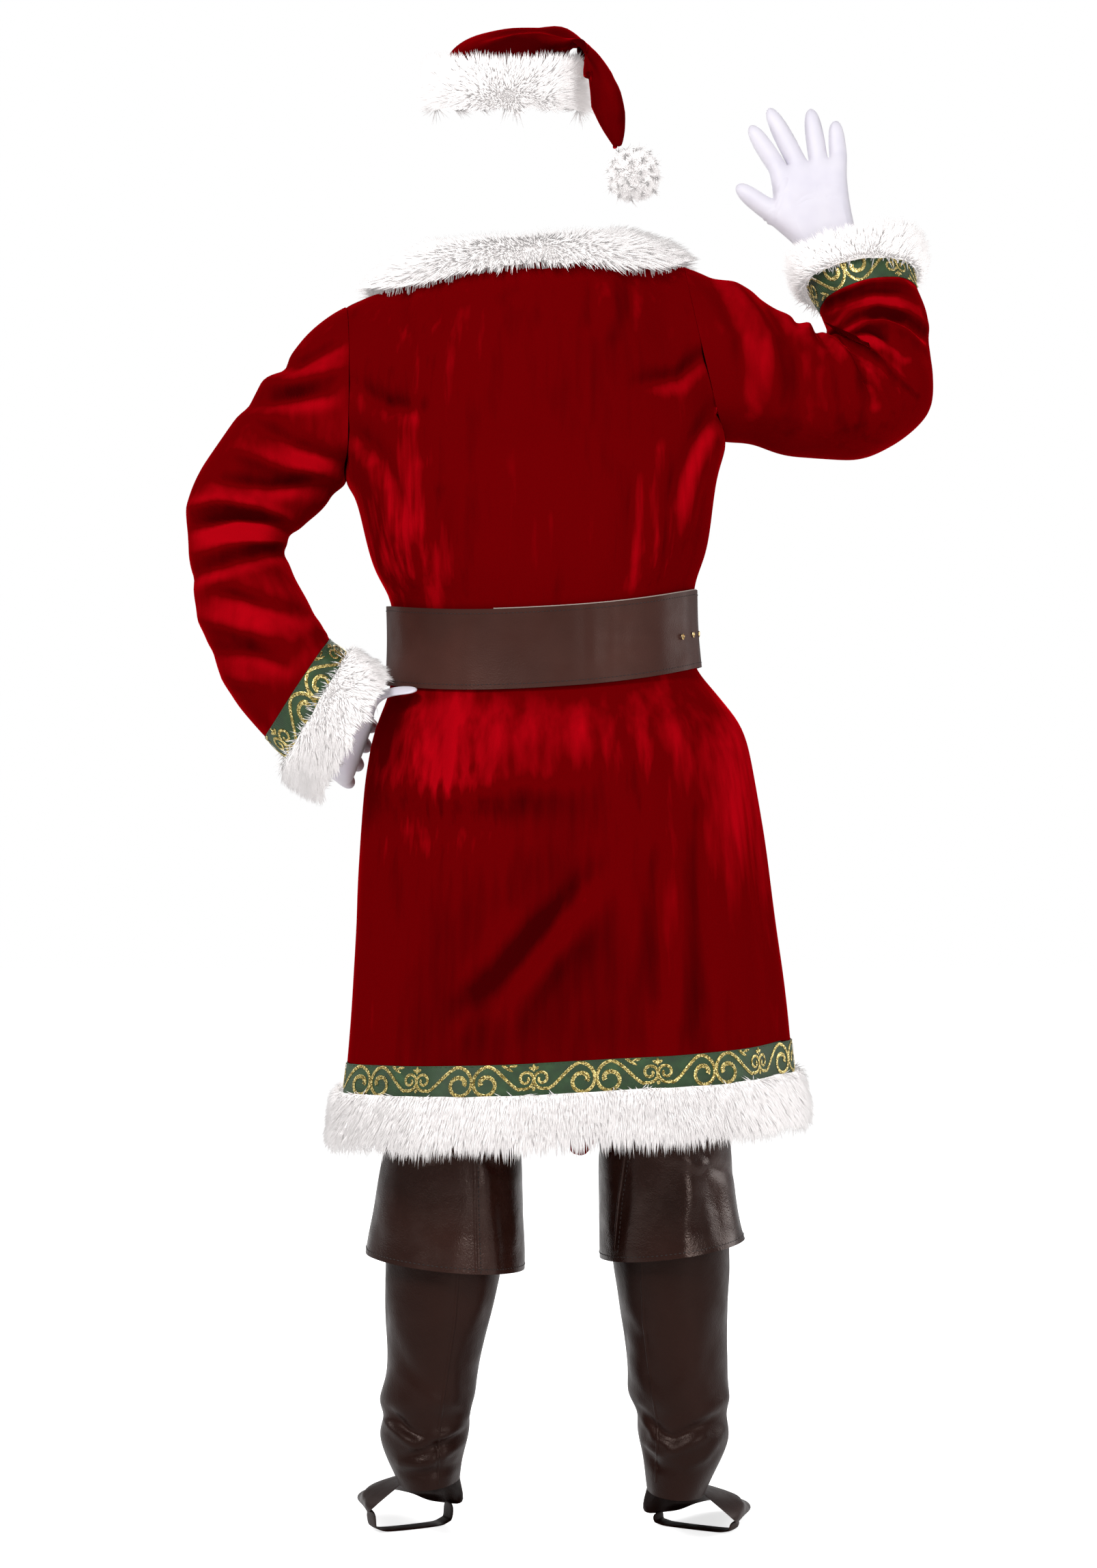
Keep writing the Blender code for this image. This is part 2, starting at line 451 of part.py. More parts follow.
def sink(rows, columns, depth):
    """Lower some columns of a front below its surface, to go under the other front."""
    for column in columns:
        line = [row[column] for row in rows]
        beside = [row[column - 1] for row in rows]
        for index, row in enumerate(rows):
            along = line[min(index + 1, len(line) - 1)] - line[max(index - 1, 0)]
            normal = (line[index] - beside[index]).cross(along).normalized()
            row[column] = line[index] - normal * math.copysign(depth, normal.y + normal.z)
    return rows


def fold_height(folds, row, turn):
    """Height of the sleeve's folds at a place on it."""
    height = 0.0
    for fold in folds:
        round_arm = (turn - fold.turn + 0.5) % 1.0 - 0.5
        reach = ((row - fold.row) / fold.length) ** 2 + (round_arm / fold.width) ** 2
        height += fold.height * math.exp(-reach)
    return height


def sleeve_rows(arms, folds):
    """Rows of one sleeve: its first is the armhole, its last the end of the cuff's fur."""
    last = len(arms) - 2
    rows = []
    for index, arm in enumerate(arms):
        middle = arm_middle(arm)
        row = []
        for turn in ARM_TURNS + [1.0 - turn for turn in ARM_TURNS[-2:0:-1]]:
            point = arm_point(arms, index, turn)
            fade = smooth(index / 1.5) * smooth((last - index) / 1.5)
            lift = fade * FOLD_DEPTH * fold_height(folds, index, turn)
            row.append(point + (point - middle).normalized() * lift)
        rows.append(row)
    return rows


def cone_point(cone, turn):
    """Point of a hat section: turn 0 is its left, 0.25 its back."""
    angle = 2.0 * math.pi * turn
    across = 0.5 + 0.5 * math.cos(angle)
    y = cone.mid_y - cone.depth * math.sin(angle)
    return Vector((mix(cone.right_x, cone.left_x, across), y,
                   mix(cone.right_z, cone.left_z, across) + HAT_LEAN * y))


def boot_point(boot, turn):
    """Point of a boot section: turn 0 is its outer side, 0.25 its back."""
    angle = 2.0 * math.pi * turn
    across = 0.5 + 0.5 * math.cos(angle)
    depth = boot.back if math.sin(angle) > 0.0 else boot.front
    return Vector((mix(boot.inner_x, boot.outer_x, across), -depth * math.sin(angle),
                   mix(boot.inner_z, boot.outer_z, across)))


def leg_point(leg, share):
    """Point of a trouser section: share 0 is the centre back, 1 the centre front."""
    depth = leg.back if share < 0.5 else leg.front
    half = math.pi * (share - 0.5)
    hip = Vector((mix(leg.inner_x, leg.outer_x, math.cos(half)), depth * math.sin(half),
                  mix(leg.inner_z, leg.outer_z, math.cos(half))))
    whole = 2.0 * half
    across = 0.5 + 0.5 * math.cos(whole)
    tube = Vector((mix(leg.inner_x, leg.outer_x, across), depth * math.sin(whole),
                   mix(leg.inner_z, leg.outer_z, across ** SAG)))
    return mix(hip, tube, leg.joined)


# ---- turning surfaces into solids -----------------------------------------------------------
def make_material(name):
    colour, roughness, metallic = COLOURS[name]
    material = bpy.data.materials.new(name)
    material.use_nodes = True
    shader = material.node_tree.nodes["Principled BSDF"]
    shader.inputs["Base Color"].default_value = (*colour, 1.0)
    shader.inputs["Roughness"].default_value = roughness
    shader.inputs["Metallic"].default_value = metallic
    return material


def place(name, bm, finish, sharp=50.0):
    """Make the named object of a finished mesh, in the suit's collection."""
    if bm.calc_volume(signed=True) < 0.0:
        bmesh.ops.reverse_faces(bm, faces=bm.faces)
    mesh = bpy.data.meshes.new(name)
    bm.to_mesh(mesh)
    bm.free()
    mesh.shade_smooth()
    mesh.set_sharp_from_angle(angle=math.radians(sharp))
    mesh.materials.append(make_material(finish))
    made = bpy.data.objects.new(name, mesh)
    bpy.data.collections["santa_suit"].objects.link(made)
    return made


def grid(rows, closed=False):
    """Open surface through rows of points; closed joins each row's end to its start."""
    bm = bmesh.new()
    lines = [[bm.verts.new(point) for point in row] for row in rows]
    columns = len(rows[0])
    for low, high in zip(lines, lines[1:]):
        for column in range(columns if closed else columns - 1):
            after = (column + 1) % columns
            corners = [low[column], low[after], high[after], high[column]]
            bm.faces.new(corners)
    bmesh.ops.remove_doubles(bm, verts=bm.verts, dist=MERGE)
    face_out(bm)
    return bm


def face_out(bm):
    """Turn a bulging surface's faces away from its middle."""
    bmesh.ops.recalc_face_normals(bm, faces=bm.faces)
    middle = sum((vert.co for vert in bm.verts), Vector()) / len(bm.verts)
    spread = sum(face.calc_area() * face.normal.dot(face.calc_center_median() - middle)
                 for face in bm.faces)
    if spread < 0.0:
        bmesh.ops.reverse_faces(bm, faces=bm.faces)
    bm.normal_update()


def shared_normals(surfaces):
    """Outward direction at any point of surfaces that are sewn to each other."""
    joined = bmesh.new()
    for surface in surfaces:
        mesh = bpy.data.meshes.new("joined")
        surface.to_mesh(mesh)
        joined.from_mesh(mesh)
        bpy.data.meshes.remove(mesh)
    bmesh.ops.remove_doubles(joined, verts=joined.verts, dist=MERGE)
    joined.normal_update()
    tree = kdtree.KDTree(len(joined.verts))
    for index, vert in enumerate(joined.verts):
        tree.insert(vert.co, index)
    tree.balance()
    normals = [vert.normal.copy() for vert in joined.verts]
    joined.free()

    def outward(point, nearest=1):
        """Normal at a shared point, or a blend of the nearest ones anywhere else."""
        near = tree.find_n(point, nearest)
        return sum((normals[index] / (gap + MERGE) for _, index, gap in near), Vector()).normalized()
    return outward


def into_surface(vert):
    """Way in from a seam's point that leaves both its seam edges one unit away."""
    ways = []
    for edge in vert.link_edges:
        if edge.is_boundary:
            face = edge.link_faces[0]
            way = face.normal.cross(edge.verts[1].co - edge.verts[0].co).normalized()
            inward = way.dot(face.calc_center_median() - vert.co)
            ways.append(way * math.copysign(1.0, inward))
    return (ways[0] + ways[1]) / max(1.0 + ways[0].dot(ways[1]), 0.4)


def give_wall(bm, outward, wall):
    """Close an open surface into a wall that lies inside it, back from its seams by half SEAM."""
    outside = list(bm.verts)
    rims = [(edge.link_loops[0].vert, edge.link_loops[0].link_loop_next.vert)
            for edge in bm.edges if edge.is_boundary]
    moves = {vert: into_surface(vert) * SEAM * 0.5 for rim in rims for vert in rim}
    order = {vert: vert.co.dot(Vector((1.0, 0.7, 0.3))) for vert in moves}
    directions = {vert: outward(vert.co) for vert in outside}
    for vert, move in moves.items():
        vert.co += move
    inside = {vert: bm.verts.new(vert.co - directions[vert] * wall) for vert in outside}
    for face in list(bm.faces):
        bm.faces.new([inside[vert] for vert in reversed(face.verts)])
    for first, second in rims:       # both pieces at a seam are split along the same diagonal
        if order[first] < order[second]:
            bm.faces.new([second, first, inside[second]])
            bm.faces.new([first, inside[first], inside[second]])
        else:
            bm.faces.new([second, first, inside[first]])
            bm.faces.new([second, inside[first], inside[second]])
    return bm


def sew(pieces, wall, finish):
    """Make walls of pieces that share seams, given as names and open surfaces.

    finish names the material of the pieces that are not of velvet."""
    outward = shared_normals(pieces.values())
    for name, surface in pieces.items():
        place(name, give_wall(surface, outward, wall), finish.get(name, "velvet"))


def wall_alone(name, surface, wall, finish):
    """Make the wall of a piece that is sewn to no other."""
    sew({name: surface}, wall, {name: finish})


def fur_band(name, edge, thickness, closed=True):
    """Fur strip below a seam: edge holds its seam point, its drop and its outward direction."""
    bm = bmesh.new()
    loops = []
    for index, (seam, drop, outward) in enumerate(edge):
        tuft = TUFTS * (math.sin(index * 2.4) + 0.7 * math.cos(index * 3.9 + 1.0))
        loop = []
        for below, out in FUR_SECTION:
            reach = below * (1.0 + tuft if below > 0.7 else 1.0)
            push = out * thickness * (1.0 + tuft if out > 0.5 else 1.0)
            start = seam + drop.normalized() * SEAM
            loop.append(bm.verts.new(start + drop * reach + outward * push))
        loops.append(loop)
    count = len(FUR_SECTION)
    pairs = list(zip(loops, loops[1:] + loops[:1])) if closed else list(zip(loops, loops[1:]))
    for first, second in pairs:
        for side in range(count):
            after = (side + 1) % count
            bm.faces.new([first[side], first[after], second[after], second[side]])
    if not closed:
        bm.faces.new(list(reversed(loops[0])))
        bm.faces.new(loops[-1])
    place(name, bm, "fur")


# ---- coat -----------------------------------------------------------------------------------
def build_coat():
    left_steps = front_steps()
    right_steps = [HALF_STEPS - step for step in left_steps]
    lapped = [len(left_steps) - 1, len(left_steps) - 2]
    left_rows = sleeve_rows(SLEEVE_LEFT, FOLDS_LEFT)
    right_rows = sleeve_rows(SLEEVE_RIGHT, FOLDS_RIGHT)
    hem_angles = round_angles()
    hem_angles.append(2.0 * math.pi + hem_angles[0] - HEM_OPENING)
    surfaces = {
        "coat_back": grid(panel_rows(range(HALF_STEPS + 1), True)),
        "coat_front_left": grid(panel_rows(left_steps, False)),
        "coat_front_right": grid(sink(panel_rows(right_steps, False), lapped, LAP_DROP)),
        "sleeve_left": grid(left_rows[:-2], closed=True),
        "sleeve_right": grid(right_rows[:-2], closed=True),
        "cuff_band_left": grid(left_rows[-3:-1], closed=True),
        "cuff_band_right": grid(right_rows[-3:-1], closed=True),
        "hem_band": grid([[coat_point(section, angle) for angle in hem_angles]
                          for section in (HEM_EDGE, BAND_TOP)]),
    }
    skin = shared_normals(surfaces.values())
    tree = BVHTree.FromPolygons(*polygons(surfaces.values()))
    sew(surfaces, VELVET, {name: "ribbon" for name in ("cuff_band_left", "cuff_band_right", "hem_band")})

    hem = []
    for angle in hem_angles:
        seam = coat_point(HEM_EDGE, angle)
        down = (seam - coat_point(BAND_TOP, angle)).normalized()
        hem.append((seam, down * HEM_FUR_HEIGHT, skin(seam)))
    fur_band("hem_fur", spaced_ends(hem), HEM_FUR, closed=False)
    for side, rows in (("left", left_rows), ("right", right_rows)):
        cuff = [(seam, end - seam, skin(seam)) for seam, end in zip(rows[-2], rows[-1])]
        fur_band("cuff_fur_" + side, doubled(cuff), CUFF_FUR)
    build_collar(tree, skin)


def polygons(surfaces):
    """Points and faces of several surfaces as plain lists."""
    points = []
    faces = []
    for surface in surfaces:
        start = len(points)
        surface.verts.index_update()
        points += [vert.co.copy() for vert in surface.verts]
        faces += [[start + vert.index for vert in face.verts] for face in surface.faces]
    return points, faces


def doubled(edge):
    """Put a point between each two of a closed edge, so that fur tufts are finer."""
    fine = []
    for first, second in zip(edge, edge[1:] + edge[:1]):
        fine.append(first)
        fine.append(tuple(mix(one, two, 0.5) for one, two in zip(first, second)))
    return fine


def spaced_ends(edge):
    """Draw the two ends of an open edge apart by SEAM."""
    first = edge[0][0] + (edge[1][0] - edge[0][0]).normalized() * SEAM
    last = edge[-1][0] + (edge[-2][0] - edge[-1][0]).normalized() * SEAM
    return [(first, *edge[0][1:])] + edge[1:-1] + [(last, *edge[-1][1:])]


def collar_edge(angle):
    """Outer edge of the collar before it is laid on the coat."""
    half_width, behind, before = COLLAR_REACH
    depth = before if math.sin(angle) > 0.0 else behind
    tip_z = mix(*COLLAR_TIPS, 0.5 + 0.5 * math.cos(angle))
    fall = COLLAR_SINK[0] if math.sin(angle) < 0.0 else COLLAR_SINK[1]
    return Vector((COLLAR_CENTRE_X + half_width * math.cos(angle), depth * math.sin(angle),
                   tip_z - fall * abs(math.sin(angle))))


def raise_clear(tree, spots, normals):
    """Heights above the coat at which a sheet through the spots stays clear of it."""
    heights = [[COLLAR_CLEAR] * len(row) for row in spots]
    shares = (0.0, 0.25, 0.5, 0.75, 1.0)
    samples = [(u, v) for u in shares for v in shares]
    for _ in range(COLLAR_PASSES):
        sheet = [[spot + normal * height for spot, normal, height in zip(*row)]
                 for row in zip(spots, normals, heights)]
        for step in range(len(spots) - 1):
            for index in range(len(spots[0]) - 1):
                near_side = sheet[step][index], sheet[step][index + 1]
                far_side = sheet[step + 1][index], sheet[step + 1][index + 1]
                points = [mix(mix(near_side[0], far_side[0], u), mix(near_side[1], far_side[1], u), v)
                          for u, v in samples]
                points += [mix(near_side[0], far_side[1], u) for u in shares]
                points += [mix(near_side[1], far_side[0], u) for u in shares]
                short = 0.0
                for point in points:
                    near, normal, _, _ = tree.find_nearest(point)
                    short = max(short, COLLAR_LEAST - (point - near).dot(normal))
                for row in (step, step + 1):
                    for column in (index, index + 1):
                        heights[row][column] += 0.5 * short
    return heights


def build_collar(tree, skin):
    """Wide fur collar that lies on the shoulders round the neck."""
    spots = []
    for step in range(COLLAR_STEPS + 1):
        angle = math.pi / 2 + COLLAR_GAP + (2.0 * math.pi - 2.0 * COLLAR_GAP) * step / COLLAR_STEPS
        inner = neckline(math.acos(-math.cos(angle)) / math.pi, math.sin(angle) < 0.0)
        outer = collar_edge(angle)
        spots.append([tree.find_nearest(mix(inner, outer, share))[0] for share, _ in COLLAR_SECTION])
    normals = [[skin(spot, nearest=5) for spot in row] for row in spots]
    heights = raise_clear(tree, spots, normals)
    bm = bmesh.new()
    loops = []
    for step, row in enumerate(zip(spots, normals, heights)):
        under = []
        over = []
        for index, (spot, normal, height) in enumerate(zip(*row)):
            tuft = 1.0 + COLLAR_TUFT * math.sin(step * 2.3 + index)
            under.append(spot + normal * height)
            over.append(spot + normal * (height + COLLAR_SECTION[index][1] * tuft))
        loops.append([bm.verts.new(point) for point in under + over[::-1]])
    for first, second in zip(loops, loops[1:]):
        for side in range(len(first)):
            after = (side + 1) % len(first)
            bm.faces.new([first[side], first[after], second[after], second[side]])
    bm.faces.new(list(reversed(loops[0])))
    bm.faces.new(loops[-1])
    place("collar_fur", bm, "fur")


# ---- belt -----------------------------------------------------------------------------------
def belt_point(section, angle, out):
    """Point of the belt, moved out from the coat section that it lies on."""
    point = coat_point(section, angle)
    return point + Vector((math.cos(angle), math.sin(angle), 0.0)) * out


def build_belt():
    angles = round_angles()
    face = BELT_CLEAR + STRAP
    rows = [[belt_point(section, angle, face) for angle in angles]
            for section in (BELT_BOTTOM, BELT_MID, BELT_TOP)]
    wall_alone("belt_strap", grid(rows, closed=True), STRAP, "belt_leather")
    for index in range(EYELETS):
        angle = FIRST_EYELET + index * EYELET_PITCH
        spot = belt_point(BELT_MID, angle, face + EYELET_CLEAR)
        spot.z -= EYELET_DROP
        ring = bmesh.new()
        loops = []
        for side in range(EYELET_SIDES):
            turn = 2.0 * math.pi * side / EYELET_SIDES
            loops.append([ring.verts.new((EYELET_RADIUS * share * math.cos(turn),
                                          EYELET_RADIUS * share * math.sin(turn), rise))
                          for share, rise in EYELET_SECTION])
        for first, second in zip(loops, loops[1:] + loops[:1]):
            for corner in range(len(first)):
                after = (corner + 1) % len(first)
                ring.faces.new([first[corner], second[corner], second[after], first[after]])
        outward = Vector((math.cos(angle), math.sin(angle), 0.0))
        turn = outward.to_track_quat("Z", "Y").to_matrix().to_4x4()
        ring.transform(Matrix.Translation(spot) @ turn)
        place(f"belt_eyelet_{index + 1}", ring, "brass")
    build_buckle(face)


def build_buckle(face):
    """Plain rectangular buckle at the front, with its prong across the strap."""
    width, height, bar, thick = BUCKLE
    middle = belt_point(BELT_MID, math.pi / 2, face + BUCKLE_CLEAR + 0.5 * thick)
    bm = bmesh.new()
    bmesh.ops.create_cube(bm, size=1.0, matrix=Matrix.Diagonal((width, thick, height, 1.0)))
    frame = place("belt_buckle", bm, "brass")
    hole = bmesh.new()
    inside = Matrix.Diagonal((width - 2.0 * bar, 3.0 * thick, height - 2.0 * bar, 1.0))
    bmesh.ops.create_cube(hole, size=1.0, matrix=inside)
    cutter = place("buckle_window", hole, "brass")
    bpy.data.collections["santa_suit"].objects.unlink(cutter)
    bpy.data.collections["cutters"].objects.link(cutter)
    cutter.hide_render = True
    cutter.display_type = "WIRE"
    for made in (frame, cutter):
        made.location = middle
        made.rotation_euler = (BUCKLE_LEAN, 0.0, 0.0)
    window = frame.modifiers.new("Window", "BOOLEAN")
    window.object = cutter
    edge = frame.modifiers.new("Edge", "BEVEL")
    edge.width = BUCKLE_EDGE
    edge.segments = 1
    prong = bmesh.new()
    length = width - 2.0 * bar - 2.0 * SEAM
    bmesh.ops.create_cone(prong, cap_ends=True, segments=8, radius1=PRONG[0], radius2=PRONG[1],
                          depth=length)
    prong.transform(Matrix.Translation(middle) @ Matrix.Rotation(math.pi / 2, 4, "Y"))
    place("belt_prong", prong, "brass")


# ---- hat ------------------------------------------------------------------------------------
def build_hat():
    rows = [[cone_point(cone, step / HAT_STEPS) for step in range(HAT_STEPS)] for cone in HAT]
    crown = grid(rows, closed=True)
    end = 0.5 * (cone_point(HAT[-1], 0.0) + cone_point(HAT[-1], 0.5))
    tip = sorted((vert for vert in crown.verts if vert.is_boundary),
                 key=lambda vert: (vert.co - end).length)[:HAT_STEPS]
    tip.sort(key=lambda vert: math.atan2(vert.co.y - end.y, vert.co.x - end.x))
    crown.faces.new(tip)
    face_out(crown)
    wall_alone("hat_crown", crown, VELVET, "velvet")
    brim = []
    centre = Vector((0.5 * (BRIM.left_x + BRIM.right_x), 0.0, BRIM.left_z))
    for step in range(BRIM_STEPS):
        seam = cone_point(BRIM, step / BRIM_STEPS)
        outward = (seam - centre).normalized()
        brim.append((seam, Vector((0.0, 0.0, -BRIM_FUR_HEIGHT)), outward))
    fur_band("hat_brim_fur", brim, BRIM_FUR)
    build_pompom()


def build_pompom():
    """Round fur ball: four-sided locks that stand on a solid core."""
    bm = bmesh.new()
    bmesh.ops.create_icosphere(bm, subdivisions=2, radius=POMPOM_CORE)
    core = place("hat_pompom", bm, "fur")
    locks = bmesh.new()
    for index in range(POMPOM_LOCKS):
        rise = 1.0 - 2.0 * (index + 0.5) / POMPOM_LOCKS
        turn = index * math.pi * (3.0 - math.sqrt(5.0))
        flat = math.sqrt(1.0 - rise ** 2)
        outward = Vector((flat * math.cos(turn), flat * math.sin(turn), rise))
        reach = POMPOM_REACH * (1.0 - POMPOM_UNEVEN * (1.0 - math.sin(index * 1.7)))
        root = POMPOM_CORE * POMPOM_ROOT
        made = bmesh.ops.create_cone(locks, cap_ends=True, segments=4, radius1=POMPOM_LOCK[0],
                                     radius2=POMPOM_LOCK[1], depth=reach - root)
        aim = outward.to_track_quat("Z", "Y").to_matrix().to_4x4()
        middle = Matrix.Translation(outward * 0.5 * (reach + root))
        bmesh.ops.transform(locks, matrix=middle @ aim, verts=made["verts"])
    pile = place("pompom_locks", locks, "fur")
    bpy.data.collections["santa_suit"].objects.unlink(pile)
    bpy.data.collections["cutters"].objects.link(pile)
    pile.hide_render = True
    pile.display_type = "WIRE"
    for made in (core, pile):
        made.location = POMPOM_CENTRE
    fuse = core.modifiers.new("Locks", "BOOLEAN")
    fuse.operation = "UNION"
    fuse.use_self = True
    fuse.object = pile


# ---- trousers -------------------------------------------------------------------------------
def build_trousers():
    shares = [step / LEG_STEPS for step in range(LEG_STEPS + 1)]
    surfaces = {
        "trousers_left": grid([[leg_point(leg, share) for share in shares] for leg in TROUSERS_LEFT]),
        "trousers_right": grid([[leg_point(leg, share) for share in shares] for leg in TROUSERS_RIGHT]),
    }
    band = []
    for rise in (0.0, WAISTBAND_HEIGHT):
        row = [leg_point(TROUSERS_RIGHT[0], share) for share in shares]
        row += [leg_point(TROUSERS_LEFT[0], share) for share in reversed(shares)][1:-1]
        band.append([point + Vector((0.0, 0.0, rise)) for point in row])
    surfaces["trousers_waistband"] = grid(band, closed=True)
    sew(surfaces, VELVET, {})


# ---- boot covers ----------------------------------------------------------------------------
def build_boot(side, shaft, cuff, toes_out):
    turns = [step / BOOT_STEPS for step in range(BOOT_STEPS)]
    shaft_rows = [[boot_point(boot, turn) for turn in turns] for boot in shaft]
    half = BOOT_STEPS // 2
    lower = Vector((0.0, 0.0, -FLAP_GAP))
    first = [shaft_rows[-1][(half + step) % BOOT_STEPS] + lower for step in range(half + 1)]
    end = shaft[-1]
    foot = 0.5 * Vector((end.outer_x + end.inner_x, 0.0, end.outer_z + end.inner_z))
    forward = Vector((-math.sin(toes_out), math.cos(toes_out), 0.0))
    outer_sign = 1.0 if side == "right" else -1.0
    sideways = Vector((math.cos(toes_out), math.sin(toes_out), 0.0)) * outer_sign
    flap_rows = [first]
    for flap in FLAP:
        row = []
        for step in range(half + 1):
            angle = math.pi * (0.5 - step / half)
            lift = math.cos(angle)
            across = -math.sin(angle)
            ahead = flap.reach + RIDGE_LEAD * lift
            point = foot + forward * ahead + sideways * across * flap.half_width
            point.z -= mix(flap.edge, flap.ridge, power(lift, RIDGE_ROUND))
            row.append(point)
        flap_rows.append(row)
    cuff_rows = [[boot_point(boot, turn) for turn in turns] for boot in cuff]
    wall_alone(f"boot_shaft_{side}", grid(shaft_rows, closed=True), LEATHER, "boot_leather")
    wall_alone(f"boot_cuff_{side}", grid(cuff_rows, closed=True), LEATHER, "boot_leather")
    wall_alone(f"boot_instep_{side}", grid(flap_rows), LEATHER, "boot_leather")
    build_understrap(side, foot, forward, sideways)


def build_understrap(side, foot, forward, sideways):
    """Strap under the shoe, from one edge of the instep flap to the other."""
    width, thick, low = UNDERSTRAP
    flap = FLAP[1]
    start = foot + forward * flap.reach
    strap = []
    for step in range(STRAP_STEPS + 1):
        angle = math.pi * step / STRAP_STEPS
        across = power(math.cos(angle), STRAP_SQUARE) * (flap.half_width - STRAP_INSET)
        spot = start + sideways * across
        spot.z = mix(foot.z - flap.edge - STRAP_GAP, low, power(math.sin(angle), STRAP_SQUARE))
        strap.append([spot - forward * width * 0.5, spot + forward * width * 0.5])
    wall_alone(f"boot_strap_{side}", grid(strap), thick, "boot_leather")


# ---- gloves ---------------------------------------------------------------------------------
def hand_frame(origin, up, palm_side, left):
    """Frame of a hand: x to its little finger, y out of its palm, z along its fingers."""
    up = up.normalized()
    through = (palm_side - up * palm_side.dot(up)).normalized()
    across = through.cross(up) * (-1.0 if left else 1.0)
    turn = Matrix((across, through, up)).transposed().to_4x4()
    return Matrix.Translation(origin) @ turn


def finger_route(root, finger):
    """Middle points of a finger from its root, in the hand's frame."""
    lean = Matrix.Rotation(math.radians(finger.lean), 3, "Y")
    points = []
    spot = root.copy()
    done = 0.0
    for share in FINGER_RINGS:
        curl = Matrix.Rotation(-2.0 * math.radians(finger.curl) * share, 3, "X")
        spot = spot + lean @ curl @ Vector((0.0, 0.0, finger.length * (share - done)))
        points.append(spot)
        done = share
    return points


def grow_finger(bm, hand, corners, route, width):
    """Four-sided rings along a route, from four corners of the cage to a closed tip."""
    inverse = hand.inverted()
    root = inverse @ (sum((corner.co for corner in corners), Vector()) / 4.0)
    signs = None
    before = root
    for index, spot in enumerate(route):
        heading = (spot - before).normalized()
        through = Vector((0.0, 1.0, 0.0))
        through = (through - heading * through.dot(heading)).normalized()
        across = through.cross(heading)
        if signs is None:
            offsets = [inverse @ corner.co - root for corner in corners]
            signs = [(math.copysign(1.0, offset.dot(across)), math.copysign(1.0, offset.dot(through)))
                     for offset in offsets]
        half = 0.5 * width * (1.0 - FINGER_TAPER * index / (len(route) - 1))
        ring = [bm.verts.new(hand @ (spot + across * sign * half + through * depth * half))
                for sign, depth in signs]
        for side in range(4):
            after = (side + 1) % 4
            bm.faces.new([corners[side], corners[after], ring[after], ring[side]])
        corners = ring
        before = spot
    bm.faces.new(corners)


def hand_cage(hand, forearm, palms, fingers, thumb_route, thumb_width):
    """Coarse cage of a glove, open at the wrist, whose lowest rows follow the forearm."""
    bm = bmesh.new()
    shares = [-1.0, -0.5, 0.0, 0.5, 1.0]
    rows = []
    for palm in palms:
        bend = smooth((palm.up - BEND[0]) / (BEND[1] - BEND[0]))
        sides = []
        for through in (-palm.half_thick, palm.half_thick):
            line = [Vector((palm.shift + share * palm.half_width, through, palm.up)) for share in shares]
            sides.append([bm.verts.new(mix(forearm @ spot, hand @ spot, bend)) for spot in line])
        rows.append(sides)
    for index, (low, high) in enumerate(zip(rows, rows[1:])):
        for side in (0, 1):
            for column in range(4):
                bm.faces.new([low[side][column], low[side][column + 1],
                              high[side][column + 1], high[side][column]])
        bm.faces.new([low[0][4], low[1][4], high[1][4], high[0][4]])
        web = [low[0][0], low[1][0], high[1][0], high[0][0]]
        if index == 1:
            grow_finger(bm, hand, web, thumb_route, thumb_width)
        else:
            bm.faces.new(web)
    back, front = rows[-1]
    for column, finger in enumerate(fingers):
        base = [back[column], back[column + 1], front[column + 1], front[column]]
        middle = sum((corner.co for corner in base), Vector()) / 4.0
        grow_finger(bm, hand, base, finger_route(hand.inverted() @ middle, finger), finger.width)
    bmesh.ops.recalc_face_normals(bm, faces=bm.faces)
    return bm


def build_glove(name, cage):
    glove = place(name, cage, "knit", sharp=180.0)
    round_off = glove.modifiers.new("Round", "SUBSURF")
    round_off.levels = 1
    round_off.render_levels = 1
    wall = glove.modifiers.new("Wall", "SOLIDIFY")
    wall.thickness = KNIT
    wall.offset = -1.0


def build_gloves():
    raised = hand_frame(*RAISED, left=False)
    cage = hand_cage(raised, raised, OPEN_PALM, OPEN_HAND, OPEN_THUMB, OPEN_THUMB_WIDTH)
    build_glove("glove_right", cage)
    resting = hand_frame(*RESTING, left=True)
    forearm = hand_frame(*RESTING_FOREARM, left=True)
    thumb_route = [resting.inverted() @ spot for spot in RESTING_THUMB]
    cage = hand_cage(resting, forearm, RESTING_PALM, RESTING_HAND, thumb_route, RESTING_THUMB_WIDTH)
    build_glove("glove_left", cage)


# ---- the suit -------------------------------------------------------------------------------
def start_afresh():
    for made in list(bpy.data.objects):
        bpy.data.objects.remove(made)
    for name in ("santa_suit", "cutters"):
        collection = bpy.data.collections.new(name)
        bpy.context.scene.collection.children.link(collection)


def main():
    start_afresh()
    build_coat()
    build_belt()
    build_hat()
    build_trousers()
    build_boot("left", SHAFT_LEFT, CUFF_LEFT, TOES_OUT_LEFT)
    build_boot("right", SHAFT_RIGHT, CUFF_RIGHT, TOES_OUT_RIGHT)
    build_gloves()


main()
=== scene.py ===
"""Finishes of the santa suit: velvet, scroll ribbon, fur, faux leather, gloves and brass."""
import math
from functools import partial

import bmesh
import bpy
import numpy as np
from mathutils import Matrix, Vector, noise
from mathutils.bvhtree import BVHTree


